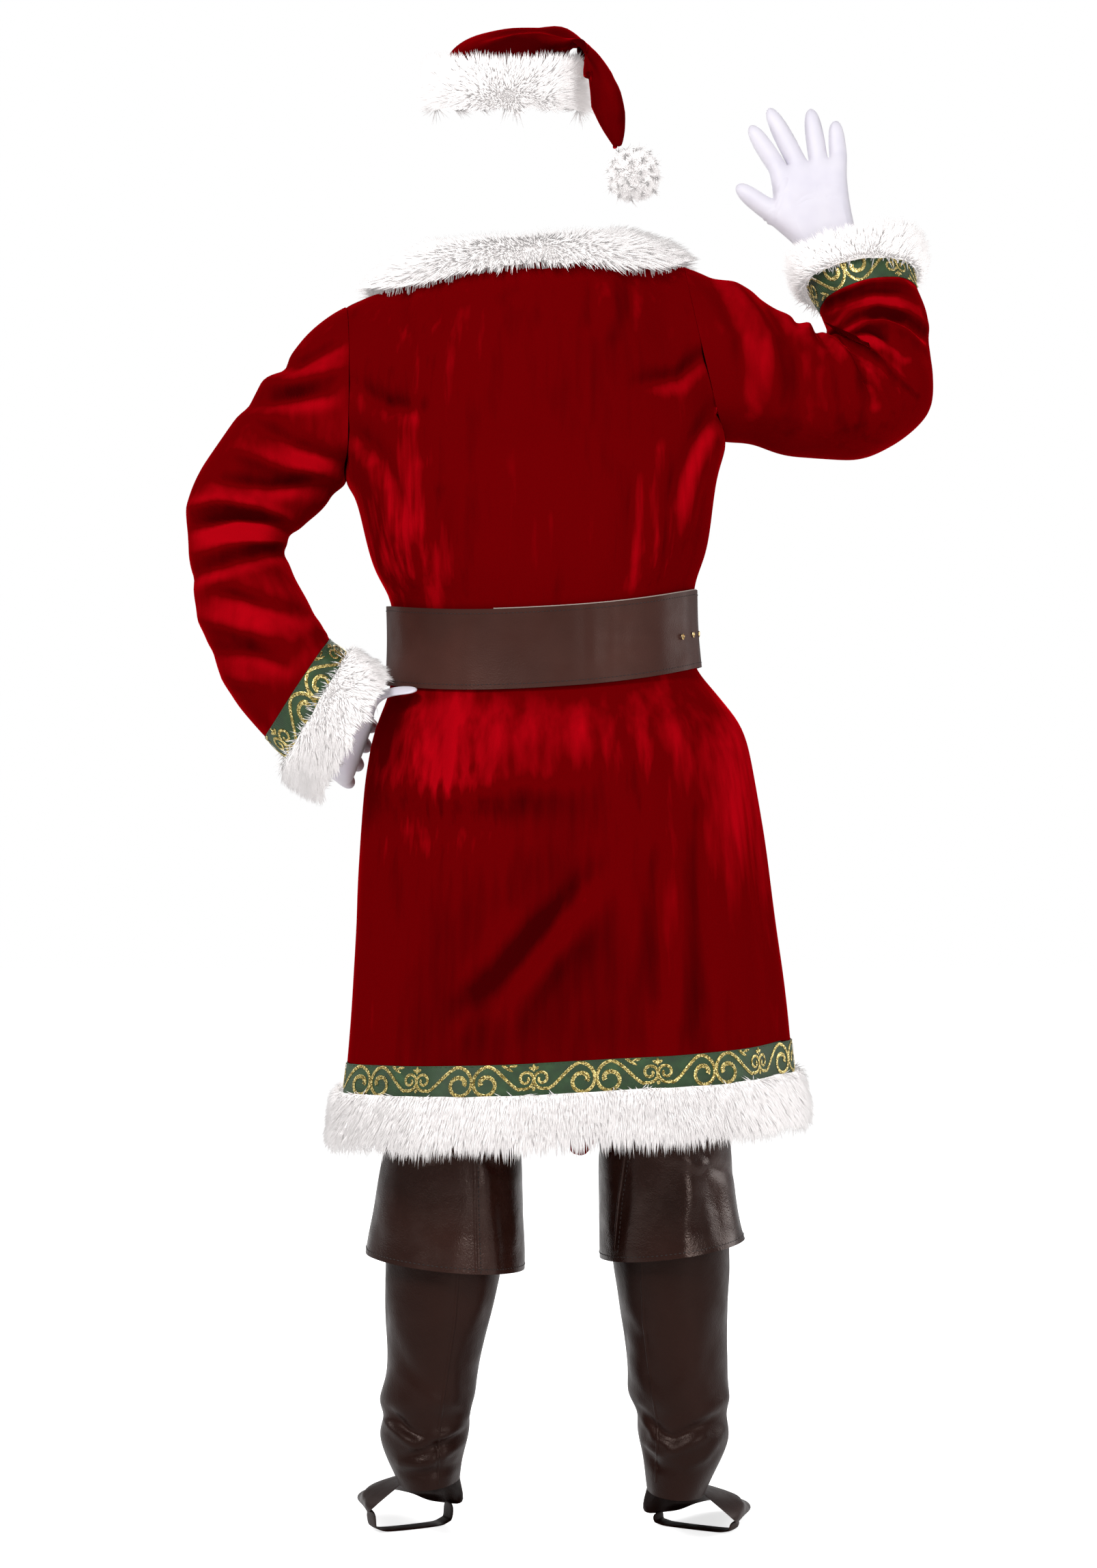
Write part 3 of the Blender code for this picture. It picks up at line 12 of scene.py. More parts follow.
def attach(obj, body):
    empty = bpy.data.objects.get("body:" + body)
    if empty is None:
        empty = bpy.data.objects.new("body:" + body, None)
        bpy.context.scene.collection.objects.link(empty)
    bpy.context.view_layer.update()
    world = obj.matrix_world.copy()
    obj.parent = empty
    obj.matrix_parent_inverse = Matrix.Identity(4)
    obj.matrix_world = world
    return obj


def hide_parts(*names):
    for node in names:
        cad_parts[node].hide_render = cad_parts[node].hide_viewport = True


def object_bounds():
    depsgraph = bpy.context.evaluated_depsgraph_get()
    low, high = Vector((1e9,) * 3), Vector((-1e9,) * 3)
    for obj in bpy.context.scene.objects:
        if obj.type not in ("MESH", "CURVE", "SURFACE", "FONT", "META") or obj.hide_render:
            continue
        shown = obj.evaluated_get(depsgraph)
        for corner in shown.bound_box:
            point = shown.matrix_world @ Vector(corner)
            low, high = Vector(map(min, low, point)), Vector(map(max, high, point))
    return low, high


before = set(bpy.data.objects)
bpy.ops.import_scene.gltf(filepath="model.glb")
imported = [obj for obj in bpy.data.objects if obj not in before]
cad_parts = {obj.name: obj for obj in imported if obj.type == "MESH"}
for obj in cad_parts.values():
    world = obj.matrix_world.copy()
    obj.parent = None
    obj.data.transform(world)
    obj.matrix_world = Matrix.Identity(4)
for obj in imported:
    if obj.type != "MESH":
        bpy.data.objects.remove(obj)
CAD_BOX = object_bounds()

bl_info = {
    "name": "Santa Suit",
    "version": (1, 0, 0),
    "blender": (4, 5, 0),
    "location": "View3D > Sidebar > Santa Suit",
    "description": "Dresses the suit's solids in velvet, ribbon, fur, faux leather and brass",
    "category": "Object",
}

MM = 0.001
PER_METRE = 1000.0            # the tables below are in millimetres
MERGE = 1e-5                  # points closer than this are one point
WALL_DEPTH = 0.006            # a face with another this close behind it is the side of a wall
WALL_SEARCH = 1e-4            # how far behind a face the search for the wall's other side starts
WALL_TURN = 0.9               # radians that a wall's side turns at most from face to face
FITTING_ROUNDS = 3            # how often a smoothed surface is drawn back onto its solid's points
OPEN_END = 1.0 - 1e-7         # the last place on an open ribbon, as a share of its length
RIBBON_LIFT = 0.0004          # how far a ribbon's upper side stands off its band
LOCK_TRIANGLES = 4            # in one lock of fur
FUR_LAP = 0.004               # how far a strip of fur laps over what it is sewn to
CENTRE_X = 0.035              # the coat's middle, to the wearer's right of the origin
LEGS_X = (-0.075, 0.150)      # the middles of the wearer's left and right leg
LEGS_PART = 0.033             # where the one ends and the other starts
BELT_HEIGHT = -0.42           # of the belt's middle, where the coat lies close
BELT_SLOPE = 0.02             # how much lower the belt is on the wearer's right, by distance
UP, DOWN = Vector((0.0, 0.0, 1.0)), Vector((0.0, 0.0, -1.0))

# A crease is a soft trough (depth below zero) or ridge along a line of (x, z) points:
# (line, width, depth, side). side: -1 lies on the wearer's back, 1 on the front, 0 runs all round.
COAT_FOLDS = [
    # drag folds across the seat
    (((-52, -848), (-10, -800), (40, -742), (78, -700)), 13, -5.5, -1),
    (((-78, -842), (-36, -790), (16, -730)), 16, 4, -1),
    (((-20, -868), (30, -806), (70, -752)), 18, 4, -1),
    (((-90, -868), (-62, -838)), 11, -3.5, -1),
    (((10, -850), (48, -790)), 11, -2.8, -1),
    # upright folds on the right of the skirt
    (((146, -690), (150, -760), (158, -850)), 10, -4.5, -1),
    (((170, -660), (172, -760), (176, -880)), 13, 4.2, -1),
    (((196, -640), (200, -740), (206, -870)), 12, -4, -1),
    (((122, -730), (126, -830)), 9, 2.6, -1),
    (((232, -560), (248, -700), (262, -880)), 16, 4.5, -1),
    # where the coat breaks over the seat
    (((-190, -596), (-110, -604), (-20, -598), (50, -606)), 22, 4, -1),
    (((-180, -640), (-90, -646), (10, -640)), 24, -3, -1),
    # folds that start under the belt
    (((-138, -500), (-142, -560), (-146, -600)), 9, 3, -1),
    (((-112, -500), (-116, -556), (-118, -612)), 9, -2.8, -1),
    (((-86, -502), (-90, -560), (-90, -606)), 9, 3, -1),
    (((-60, -505), (-62, -552), (-64, -596)), 9, -2.8, -1),
    (((-34, -505), (-36, -560), (-38, -602)), 10, 2.6, -1),
    (((60, -500), (66, -560), (70, -640)), 12, 2.4, -1),
    (((110, -495), (120, -560), (130, -640)), 12, -2.6, -1),
    (((160, -490), (176, -550), (190, -620)), 13, 3.4, -1),
    # above the belt
    (((-130, -230), (-140, -300), (-142, -372)), 12, 3.2, -1),
    (((-106, -260), (-112, -320), (-116, -376)), 10, -2.8, -1),
    (((-80, -250), (-86, -310), (-88, -378)), 11, 2.8, -1),
    (((150, -210), (148, -280), (146, -352)), 12, 3, -1),
    (((124, -230), (118, -300), (114, -356)), 10, -2.6, -1),
    (((20, -300), (22, -378)), 12, 2, -1),
    # pulls from the armholes
    (((-214, -120), (-176, -150), (-130, -160)), 12, -4, -1),
    (((-214, -176), (-180, -214), (-150, -280)), 13, -4.6, -1),
    (((-206, -200), (-178, -250), (-160, -320)), 11, 4, -1),
    (((214, -80), (176, -116), (130, -128)), 12, -4.2, -1),
    (((222, -150), (196, -190), (170, -260)), 13, -4.6, -1),
    (((214, -186), (196, -230), (184, -300)), 11, 4, -1),
    # gathers below the collar
    (((-150, -10), (-146, -60)), 8, -2.8, -1),
    (((-134, -12), (-132, -70)), 8, 2.6, -1),
    (((-116, -12), (-112, -62)), 8, -2.4, -1),
    (((70, 0), (72, -60)), 8, -2.4, -1),
    (((92, 4), (96, -66)), 9, 2.6, -1),
    (((114, 6), (120, -56)), 8, -2.8, -1),
    # the fronts
    (((90, -500), (104, -640), (112, -860)), 18, 5, 1),
    (((60, -510), (68, -660), (70, -840)), 14, -4.5, 1),
    (((-60, -510), (-76, -660), (-84, -860)), 18, 5, 1),
    (((-30, -520), (-40, -640), (-48, -800)), 13, -4.2, 1),
    (((170, -500), (194, -620), (210, -880)), 18, -4.8, 1),
    (((-130, -500), (-150, -640), (-160, -880)), 17, -4.8, 1),
    (((-216, -120), (-150, -150), (-90, -140)), 14, -4.4, 1),
    (((-210, -180), (-160, -230), (-120, -320)), 15, 4.6, 1),
    (((216, -90), (150, -120), (90, -110)), 14, -4.4, 1),
    (((216, -160), (170, -220), (130, -310)), 15, 4.6, 1),
    (((-50, -240), (-54, -360)), 12, 3.4, 1),
    (((100, -240), (104, -350)), 12, -3.2, 1),
]
LEFT_SLEEVE_FOLDS = [
    # bunching over the upper arm
    (((-322, -90), (-280, -94), (-232, -72)), 10, -6, 0),
    (((-330, -112), (-284, -118), (-230, -104)), 11, 5, 0),
    (((-350, -140), (-300, -140), (-244, -136)), 10, -5, 0),
    # from the underarm outwards
    (((-232, -214), (-280, -196), (-336, -164)), 10, -5.6, 0),
    (((-236, -226), (-290, -222), (-350, -200)), 10, 5.2, 0),
    (((-250, -240), (-310, -246), (-380, -236)), 10, -5, 0),
    # the crook of the elbow
    (((-404, -266), (-370, -262), (-330, -268), (-296, -280)), 9, 6.6, 0),
    (((-400, -292), (-350, -286), (-300, -290)), 9, -7.4, 0),
    (((-398, -322), (-350, -312), (-298, -304)), 11, 5, 0),
    (((-404, -350), (-356, -336), (-300, -320)), 9, -4.4, 0),
    # the long drag down the forearm
    (((-374, -372), (-324, -386), (-270, -400)), 11, -5.2, 0),
    (((-392, -400), (-340, -414), (-284, -430)), 12, 4.6, 0),
    (((-382, -440), (-330, -444), (-290, -460)), 10, -3.6, 0),
    (((-366, -470), (-320, -480)), 11, 3.2, 0),
]
RIGHT_SLEEVE_FOLDS = [
    # from the shoulder across the upper arm
    (((216, 10), (250, -60), (256, -150)), 12, -5.4, 0),
    (((244, 4), (284, -64), (290, -150)), 12, 5, 0),
    (((280, -8), (320, -80), (326, -170)), 12, -5, 0),
    (((312, -26), (352, -96), (362, -180)), 11, 5, 0),
    # round the crook of the elbow
    (((359, -3), (382, 4), (407, 12), (444, 14), (467, 8)), 4.5, 2.4, -1),
    (((362, -16), (386, -10), (410, -4), (446, -3), (470, -12)), 7, -4, -1),
    (((369, -46), (390, -29), (417, -21), (448, -23), (477, -37)), 8, 5.6, 0),
    (((375, -49), (397, -36), (422, -32), (450, -38), (474, -52)), 6.5, -5.6, 0),
    (((382, -50), (403, -42), (427, -42), (452, -52), (472, -66)), 8, 5.2, 0),
    (((378, -56), (402, -56), (426, -64), (448, -82)), 6.5, -5.6, 0),
    (((369, -48), (394, -60), (412, -78), (426, -110)), 8, 5.4, 0),
    (((360, -52), (382, -68), (398, -98), (408, -140)), 8, -6, 0),
    (((354, -50), (370, -74), (382, -110), (390, -160)), 9, 5.4, 0),
    # pulls from the crook down to the point of the elbow
    (((367, -54), (402, -101), (431, -149)), 4.2, 3.2, -1),
    (((361, -58), (396, -104), (425, -152)), 4.8, -3.4, -1),
    (((379, -54), (412, -82), (464, -125)), 4.2, 3, -1),
    (((374, -60), (408, -89), (458, -132)), 4.8, -3.2, -1),
    (((362, -61), (384, -101), (403, -130)), 4, 2.6, -1),
    # puckers on top of the arm, before the crook
    (((318, -30), (322, -48)), 5, -3.4, 0),
    (((330, -36), (335, -56)), 5, 3.4, 0),
    (((342, -44), (348, -66)), 5, -3.4, 0),
]
HAT_FOLDS = [
    (((-50, 302), (10, 312), (60, 290), (94, 240)), 10, -5, 0),
    (((-80, 270), (-20, 290), (40, 284)), 10, 3.4, 0),
    (((60, 300), (90, 260), (104, 200)), 8, 3.6, 0),
    (((-110, 250), (-70, 262), (-30, 262)), 9, -3, 0),
]
TROUSER_FOLDS = [
    (((-150, -700), (-90, -720), (-30, -700)), 16, -4, 0),
    (((-150, -960), (-90, -976), (-20, -966)), 14, 4, 0),
    (((90, -700), (150, -716), (210, -700)), 16, -4, 0),
    (((80, -960), (140, -976), (210, -960)), 14, 4, 0),
]
BOOT_FOLDS = {"left": [
    # where the leather crumples over the ankle
    (((-172.2, -1349.7), (-149.8, -1369.3), (-121.3, -1381.5)), 6, -4.6, -1),
    (((-176.3, -1366), (-155.9, -1378.2), (-131.5, -1392.5)), 6, 3.6, -1),
    (((-149.8, -1307), (-115.2, -1333.5), (-98.9, -1337.5)), 9, 2.4, -1),
    (((-155.9, -1402.7), (-123.4, -1392.5), (-82.7, -1378.2)), 5, -4.8, -1),
    (((-158, -1412.8), (-125.4, -1408.8), (-84.7, -1390.4)), 5.6, 4.4, -1),
    (((-155.9, -1423), (-127.4, -1422), (-90.8, -1415.8)), 5, -3.6, -1),
    (((-115.2, -1380.3), (-111.1, -1394.5), (-112.8, -1412.8)), 3.6, -3, -1),
    (((-98.9, -1366), (-78.6, -1357.9), (-73.7, -1337.5)), 7, 3, -1),
    (((-131.5, -1380.3), (-103, -1376.2), (-86.7, -1370.1)), 5, 4, -1),
    # long soft pulls up the calf
    (((-168.1, -1252.1), (-151.9, -1292.8), (-115.2, -1325.3)), 11, -2.4, -1),
    (((-170, -1200), (-164, -1250), (-140, -1290)), 13, 2, -1),
    (((-70, -1240), (-80, -1290), (-76, -1340)), 11, -2, -1),
    (((-56, -1190), (-66, -1230), (-80, -1270)), 10, 1.8, -1),
    # over the instep
    (((-180, -1370), (-125, -1360), (-72, -1370)), 9, -3, 1),
    (((-180, -1390), (-125, -1382), (-76, -1390)), 9, 3, 1),
    (((-176, -1410), (-125, -1404), (-80, -1408)), 8, -3, 1),
], "right": [
    (((129, -1349.7), (145.3, -1366), (154.2, -1370.1)), 5, -5, -1),
    (((133.1, -1357.9), (147.3, -1380.3), (169.7, -1392.5)), 5.6, 4.4, -1),
    (((141.2, -1374.2), (169.7, -1378.2), (214.5, -1357.9)), 6, -4.2, -1),
    (((133.1, -1390.4), (157.5, -1398.6), (206.3, -1378.2)), 6, 4.2, -1),
    (((135.1, -1398.6), (149.3, -1414.9), (173.8, -1416.9)), 5, -4.2, -1),
    (((167.7, -1362), (198.2, -1353.8), (234.8, -1337.5)), 8, 3.2, -1),
    (((181.9, -1412.8), (206.3, -1402.7), (226.7, -1378.2)), 7, 3.4, -1),
    (((112.7, -1239.8), (124.9, -1256.1), (143.2, -1272.4)), 9, -2.4, -1),
    (((120.9, -1296.8), (139.2, -1321.2), (153.4, -1337.5)), 9, 3.2, -1),
    (((194.1, -1288.7), (173.8, -1321.2), (157.5, -1345.7)), 11, 2.2, -1),
    (((220, -1240), (210, -1290), (220, -1330)), 12, -2.2, -1),
    (((110, -1190), (116, -1220), (130, -1250)), 9, 1.8, -1),
    (((130, -1370), (185, -1360), (238, -1370)), 9, -3, 1),
    (((134, -1390), (185, -1382), (238, -1390)), 9, 3, 1),
    (((138, -1410), (185, -1404), (234, -1408)), 8, -3, 1),
]}
CUFF_FOLDS = {"left": [
    (((-160, -1020), (-172, -1160)), 16, 4, 0),
    (((-122, -1040), (-126, -1170)), 12, -3.4, 0),
    (((-60, -1020), (-56, -1080), (-46, -1170)), 10, 3.8, 0),
    (((-64, -1030), (-48, -1052), (-26, -1060)), 6, -3.4, 0),
    (((-88, -1028), (-110, -1048), (-140, -1056)), 7, -2.6, 0),
    (((-36, -1080), (-30, -1180)), 8, -2.6, 0),
], "right": [
    (((128, -1020), (124, -1090), (112, -1150)), 10, 3.4, 0),
    (((150, -1030), (158, -1080), (150, -1150)), 13, -3, 0),
    (((182, -1020), (186, -1090), (180, -1150)), 12, 3.6, 0),
    (((200, -1030), (222, -1056), (240, -1068)), 7, -3, 0),
    (((214, -1070), (226, -1140)), 11, -3, 0),
    (((166, -1036), (196, -1050), (216, -1044)), 7, 2.6, 0),
]}
BELT_FOLDS = [
    (((60, -378), (62, -460)), 5, -0.9, -1),
    (((73, -376), (72, -462)), 5.5, 0.9, -1),
    (((87, -374), (88, -460)), 5, -0.8, -1),
    (((101, -372), (99, -458)), 6, 0.8, -1),
    (((-160, -376), (-150, -470)), 14, 1.2, -1),
    (((-120, -378), (-118, -472)), 16, -1, -1),
    (((170, -366), (176, -450)), 13, -1, -1),
]
# Seams on the backs of the boot covers: the line of (x, z) down each piece, in metres.
SEAMS = {
    "Boot_cuff_left": ((-0.0696, -1.008), (-0.068, -1.11), (-0.0656, -1.184)),
    "Boot_cuff_right": ((0.115, -1.006), (0.1029, -1.093), (0.0972, -1.158)),
    "Boot_shaft_left": ((-0.084, -1.12), (-0.0928, -1.24), (-0.1038, -1.313), (-0.112, -1.37),
                        (-0.1128, -1.44)),
    "Boot_shaft_right": ((0.129, -1.12), (0.1331, -1.24), (0.1432, -1.321), (0.1502, -1.366),
                         (0.1485, -1.44)),
}
GLOVE_FOLDS = [
    # across the back of the hand
    (((322, 118), (340, 129), (369, 133), (386, 131)), 4.5, -1.3, 0),
    (((324, 110), (342, 120), (370, 124), (386, 122)), 5, 1, 0),
    (((351, 143), (369, 140), (386, 143)), 4, -1.1, 0),
    (((320, 104), (336, 112), (357, 118)), 4, -0.9, 0),
    # round the thumb's root
    (((296, 114), (286, 100), (294, 87)), 2.8, -2, 0),
    (((300, 112), (292, 100), (299, 86)), 3.2, 1.6, 0),
    (((307, 129), (299, 108), (297, 89)), 3.5, -1.4, 0),
    (((263, 118), (272, 113), (280, 106)), 2.5, -1.2, 0),
    (((315, 154), (305, 137)), 4, -1.3, 0),
]

PAINTED_LIGHT_DIRECTION = np.array((-0.45, -0.25, 0.86))    # direction of the painted light on the velvet's folds
PAINTED_LIGHT_STRENGTH = 1.05                               # how much a tilt towards it paints the velvet lighter, and a tilt away darker
# Patches of painted light and shade on the coat's velvet, with its crushed streaks: centre x and z, half
# width, half height, how light (painted light, below zero painted shade), how streaked.
COAT_PAINTED_LIGHT_AND_STREAKS = (
    (-0.150, -0.300, 0.050, 0.095, 0.30, 1.30),
    (-0.120, -0.610, 0.080, 0.080, 0.24, 1.30),
    (-0.130, -0.110, 0.070, 0.080, 0.02, 0.60),
    (0.140, -0.290, 0.050, 0.090, 0.12, 0.90),
    (0.130, -0.600, 0.070, 0.060, 0.06, 0.60),
    (0.250, -0.610, 0.040, 0.110, 0.40, 0.30),
    (0.230, -0.330, 0.030, 0.120, 0.16, 0.20),
    (0.000, -0.820, 0.200, 0.150, -0.32, 0.00),
    (0.010, -0.400, 0.120, 0.120, -0.05, 0.00),
    (0.000, -0.535, 0.170, 0.045, 0.46, 0.10),
)
# The same for the sleeves, with painted light and streaks, and for the hat, with painted shade.
LEFT_SLEEVE_PAINTED_LIGHT = ((-0.270, -0.120, 0.120, 0.120, 0.12, 0.0), (-0.320, -0.380, 0.120, 0.120, 0.14, 0.0))
RIGHT_SLEEVE_PAINTED_LIGHT_AND_STREAKS = ((0.410, -0.110, 0.080, 0.110, 0.02, 0.4), (0.240, 0.000, 0.060, 0.090, 0.20, 0.0))
HAT_PAINTED_SHADE = ((0.0, 0.26, 0.3, 0.3, -0.34, 0.0),)
SLEEVES = {"left": (LEFT_SLEEVE_FOLDS, 3), "right": (RIGHT_SLEEVE_FOLDS, 4)}    # folds, seed


# ---- sizes and colours a user would change ---------------------------------------------------
class VelvetSettings(bpy.types.PropertyGroup):
    """Velvet of the coat, the trousers and the hat"""
    thickness: bpy.props.FloatProperty(
        name="Thickness", description="Thickness of the velvet with its pile",
        default=0.0018, min=0.001, max=0.003, unit="LENGTH")
    # Colour, Shade and Light make a ramp of painted light and shade: Shade where the folds tilt away from a
    # set light, Light where they tilt towards it, and Colour between.
    colour: bpy.props.FloatVectorProperty(
        name="Colour", description="Red of the velvet where its pile lies flat",
        default=(0.108, 0.0001, 0.0008), size=3, subtype="COLOR")
    shade: bpy.props.FloatVectorProperty(
        name="Shade", description="Red of the velvet where its pile leans away",
        default=(0.042, 0.0001, 0.0005), size=3, subtype="COLOR")
    light: bpy.props.FloatVectorProperty(
        name="Light", description="Red of the velvet where its pile leans to the light",
        default=(0.320, 0.0006, 0.0040), size=3, subtype="COLOR")
    folds: bpy.props.FloatProperty(
        name="Folds", description="How deep the folds are, 1 for the sizes in the tables",
        default=1.35, min=0.0, max=2.0)
    ripple: bpy.props.FloatProperty(
        name="Ripple", description="Height of the cloth's soft unevenness",
        default=0.0016, min=0.0, max=0.006, unit="LENGTH")


class RibbonSettings(bpy.types.PropertyGroup):
    """Green ribbons with gold scrolls"""
    thickness: bpy.props.FloatProperty(
        name="Thickness", description="Thickness of the ribbon",
        default=0.0010, min=0.0005, max=0.003, unit="LENGTH")
    colour: bpy.props.FloatVectorProperty(
        name="Colour", description="Green of the ribbon",
        default=(0.0120, 0.048, 0.0088), size=3, subtype="COLOR")
    gold: bpy.props.FloatVectorProperty(
        name="Gold", description="Colour of the glitter scrolls",
        default=(0.38, 0.28, 0.068), size=3, subtype="COLOR")
    repeat: bpy.props.FloatProperty(
        name="Repeat", description="Length of one repeat of the scrolls along the ribbon",
        default=0.143, min=0.05, max=0.4, unit="LENGTH")


class FurSettings(bpy.types.PropertyGroup):
    """White fur of the trims"""
    length: bpy.props.FloatProperty(
        name="Length", description="Length of a lock of hair",
        default=0.023, min=0.005, max=0.06, unit="LENGTH")
    width: bpy.props.FloatProperty(
        name="Width", description="Width of a lock of hair at its root",
        default=0.0018, min=0.0004, max=0.005, unit="LENGTH")
    colour: bpy.props.FloatVectorProperty(
        name="Colour", description="White of the fur",
        default=(0.93, 0.90, 0.89), size=3, subtype="COLOR")


class LeatherSettings(bpy.types.PropertyGroup):
    """Faux leather of the belt and the boot covers"""
    belt: bpy.props.FloatVectorProperty(
        name="Belt", description="Brown of the belt",
        default=(0.040, 0.0135, 0.0100), size=3, subtype="COLOR")
    boots: bpy.props.FloatVectorProperty(
        name="Boots", description="Brown of the boot covers",
        default=(0.0180, 0.0056, 0.0038), size=3, subtype="COLOR")
    thickness: bpy.props.FloatProperty(
        name="Thickness", description="Thickness of the boot covers' faux leather",
        default=0.0015, min=0.0008, max=0.003, unit="LENGTH")


class StageSettings(bpy.types.PropertyGroup):
    """Floor, light and camera"""
    floor: bpy.props.FloatProperty(
        name="Floor", description="Height of the floor below the shoulders",
        default=CAD_BOX[0][2], unit="LENGTH")
    distance: bpy.props.FloatProperty(
        name="Distance", description="How far behind the suit the camera stands",
        default=3.9, min=1.0, unit="LENGTH")
    height: bpy.props.FloatProperty(
        name="Height", description="Height of the camera, measured from the shoulders",
        default=-0.596, unit="LENGTH")
    ambient: bpy.props.FloatProperty(
        name="Ambient", description="Strength of the even light from all round",
        default=0.32, min=0.0, max=2.0)
    view: bpy.props.FloatProperty(
        name="View", description="Height of what the camera takes in at the suit",
        default=1.906, min=0.1, unit="LENGTH")


# ---- nodes -----------------------------------------------------------------------------------
MADE = {}    # materials and node trees, made once
RIMS = {}    # the loops round the open edges of each cloth piece


def add_node(tree, kind, **values):
    """A node. Each value sets an attribute, or an input by its name, or is the socket that feeds it."""
    made = tree.nodes.new(kind)
    for key, value in values.items():
        socket = made.inputs.get(key.replace("_", " "))
        if socket is None:
            setattr(made, key, value)
        else:
            feed(tree, socket, value)
    return made


def feed(tree, socket, value):
    """Joins a socket to another, or sets its value."""
    if isinstance(value, bpy.types.NodeSocket):
        tree.links.new(value, socket)
    elif value is not None:
        socket.default_value = value


def maths(tree, operation, first, second=None):
    """What a maths node makes of two values, each a socket or a number."""
    made = add_node(tree, "ShaderNodeMath", operation=operation)
    for socket, value in zip(made.inputs, (first, second)):
        feed(tree, socket, value)
    return made.outputs[0]


def vectors(tree, operation, first, second=None, scale=None):
    """What a vector maths node makes of one or two vectors and a scale."""
    made = add_node(tree, "ShaderNodeVectorMath", operation=operation)
    for socket, value in ((made.inputs[0], first), (made.inputs[1], second), (made.inputs[3], scale)):
        feed(tree, socket, value)
    return made.outputs["Vector"]


def new_tree(name, **inputs):
    """A Geometry Nodes tree with these inputs and their usual values, and its input node's sockets."""
    tree = bpy.data.node_groups.new(name, "GeometryNodeTree")
    kinds = {float: "NodeSocketFloat", int: "NodeSocketInt", tuple: "NodeSocketVector"}
    tree.interface.new_socket(name="Geometry", in_out="INPUT", socket_type="NodeSocketGeometry")
    for key, value in inputs.items():
        made = tree.interface.new_socket(name=key.replace("_", " "), in_out="INPUT",
                                         socket_type=kinds[type(value)])
        made.default_value = value
    tree.interface.new_socket(name="Geometry", in_out="OUTPUT", socket_type="NodeSocketGeometry")
    return tree, add_node(tree, "NodeGroupInput").outputs


def end_tree(tree, geometry, material):
    """The tree's last nodes, which give the geometry its material."""
    coloured = add_node(tree, "GeometryNodeSetMaterial", Material=material, Geometry=geometry)
    add_node(tree, "NodeGroupOutput", Geometry=coloured.outputs["Geometry"])
    return tree


def grown(piece, tree, values):
    """The piece after a tree with these inputs has run on it."""
    modifier = piece.modifiers.new(tree.name, "NODES")
    modifier.node_group = tree
    sockets = {item.name: item.identifier for item in tree.interface.items_tree
               if item.in_out == "INPUT"}
    for name, value in values.items():
        modifier[sockets[name]] = value
    return applied(piece)


# ---- materials -------------------------------------------------------------------------------
def new_material(name, colour, roughness, metallic=0.0, **more):
    """A material's tree, the material and its shader; more sets inputs, with _ for each space."""
    material = bpy.data.materials.new(name)
    material.use_nodes = True
    shader = material.node_tree.nodes["Principled BSDF"]
    more = {"Base_Color": (*colour, 1.0), "Roughness": roughness, "Metallic": metallic, **more}
    for key, value in more.items():
        shader.inputs[key.replace("_", " ")].default_value = value
    return material.node_tree, material, shader


def material_of(name, make, *values):
    """The material or tree of this name, made when it is first asked for."""
    if name not in MADE:
        MADE[name] = make(*values)
    return MADE[name]


def scaled(colour, factor, more=0.0):
    """A colour times a factor, at most white."""
    return tuple(min(1.0, part * factor + more) for part in colour)


def texture(tree, kind, stretch=(1.0, 1.0, 1.0), **values):
    """A texture node over object coordinates, which stretch scales."""
    source = add_node(tree, "ShaderNodeTexCoord")
    mapping = add_node(tree, "ShaderNodeMapping", Scale=stretch, Vector=source.outputs["Object"])
    return add_node(tree, kind, **values, Vector=mapping.outputs["Vector"])


def ramp(tree, value, *stops):
    """A colour from (place, colour) stops, in which a single number is a grey."""
    made = add_node(tree, "ShaderNodeValToRGB", Fac=value)
    elements = made.color_ramp.elements
    while len(elements) < len(stops):
        elements.new(0.5)
    for element, (place, colour) in zip(elements, stops):
        element.position = place
        element.color = (colour, colour, colour, 1.0) if isinstance(colour, float) else (*colour, 1.0)
    return made.outputs["Color"]


def bump(tree, height, strength, distance, before=None):
    """A normal bent by a height, and by the bumps before it."""
    return add_node(tree, "ShaderNodeBump", Strength=strength, Distance=distance, Height=height,
                    Normal=before).outputs["Normal"]


def multiplied(tree, first, second):
    """Two colours multiplied."""
    made = add_node(tree, "ShaderNodeMix", data_type="RGBA", blend_type="MULTIPLY")
    made.inputs[0].default_value = 1.0
    for socket, value in zip((item for item in made.inputs if item.type == "RGBA"), (first, second)):
        feed(tree, socket, value)
    return next(output for output in made.outputs if output.type == "RGBA")


def grain(tree, scale, detail=4.0, stretch=(1.0, 1.0, 1.0)):
    """Noise from 0 to 1 over the piece."""
    return texture(tree, "ShaderNodeTexNoise", stretch, Scale=scale, Detail=detail,
                   Roughness=0.5).outputs["Fac"]


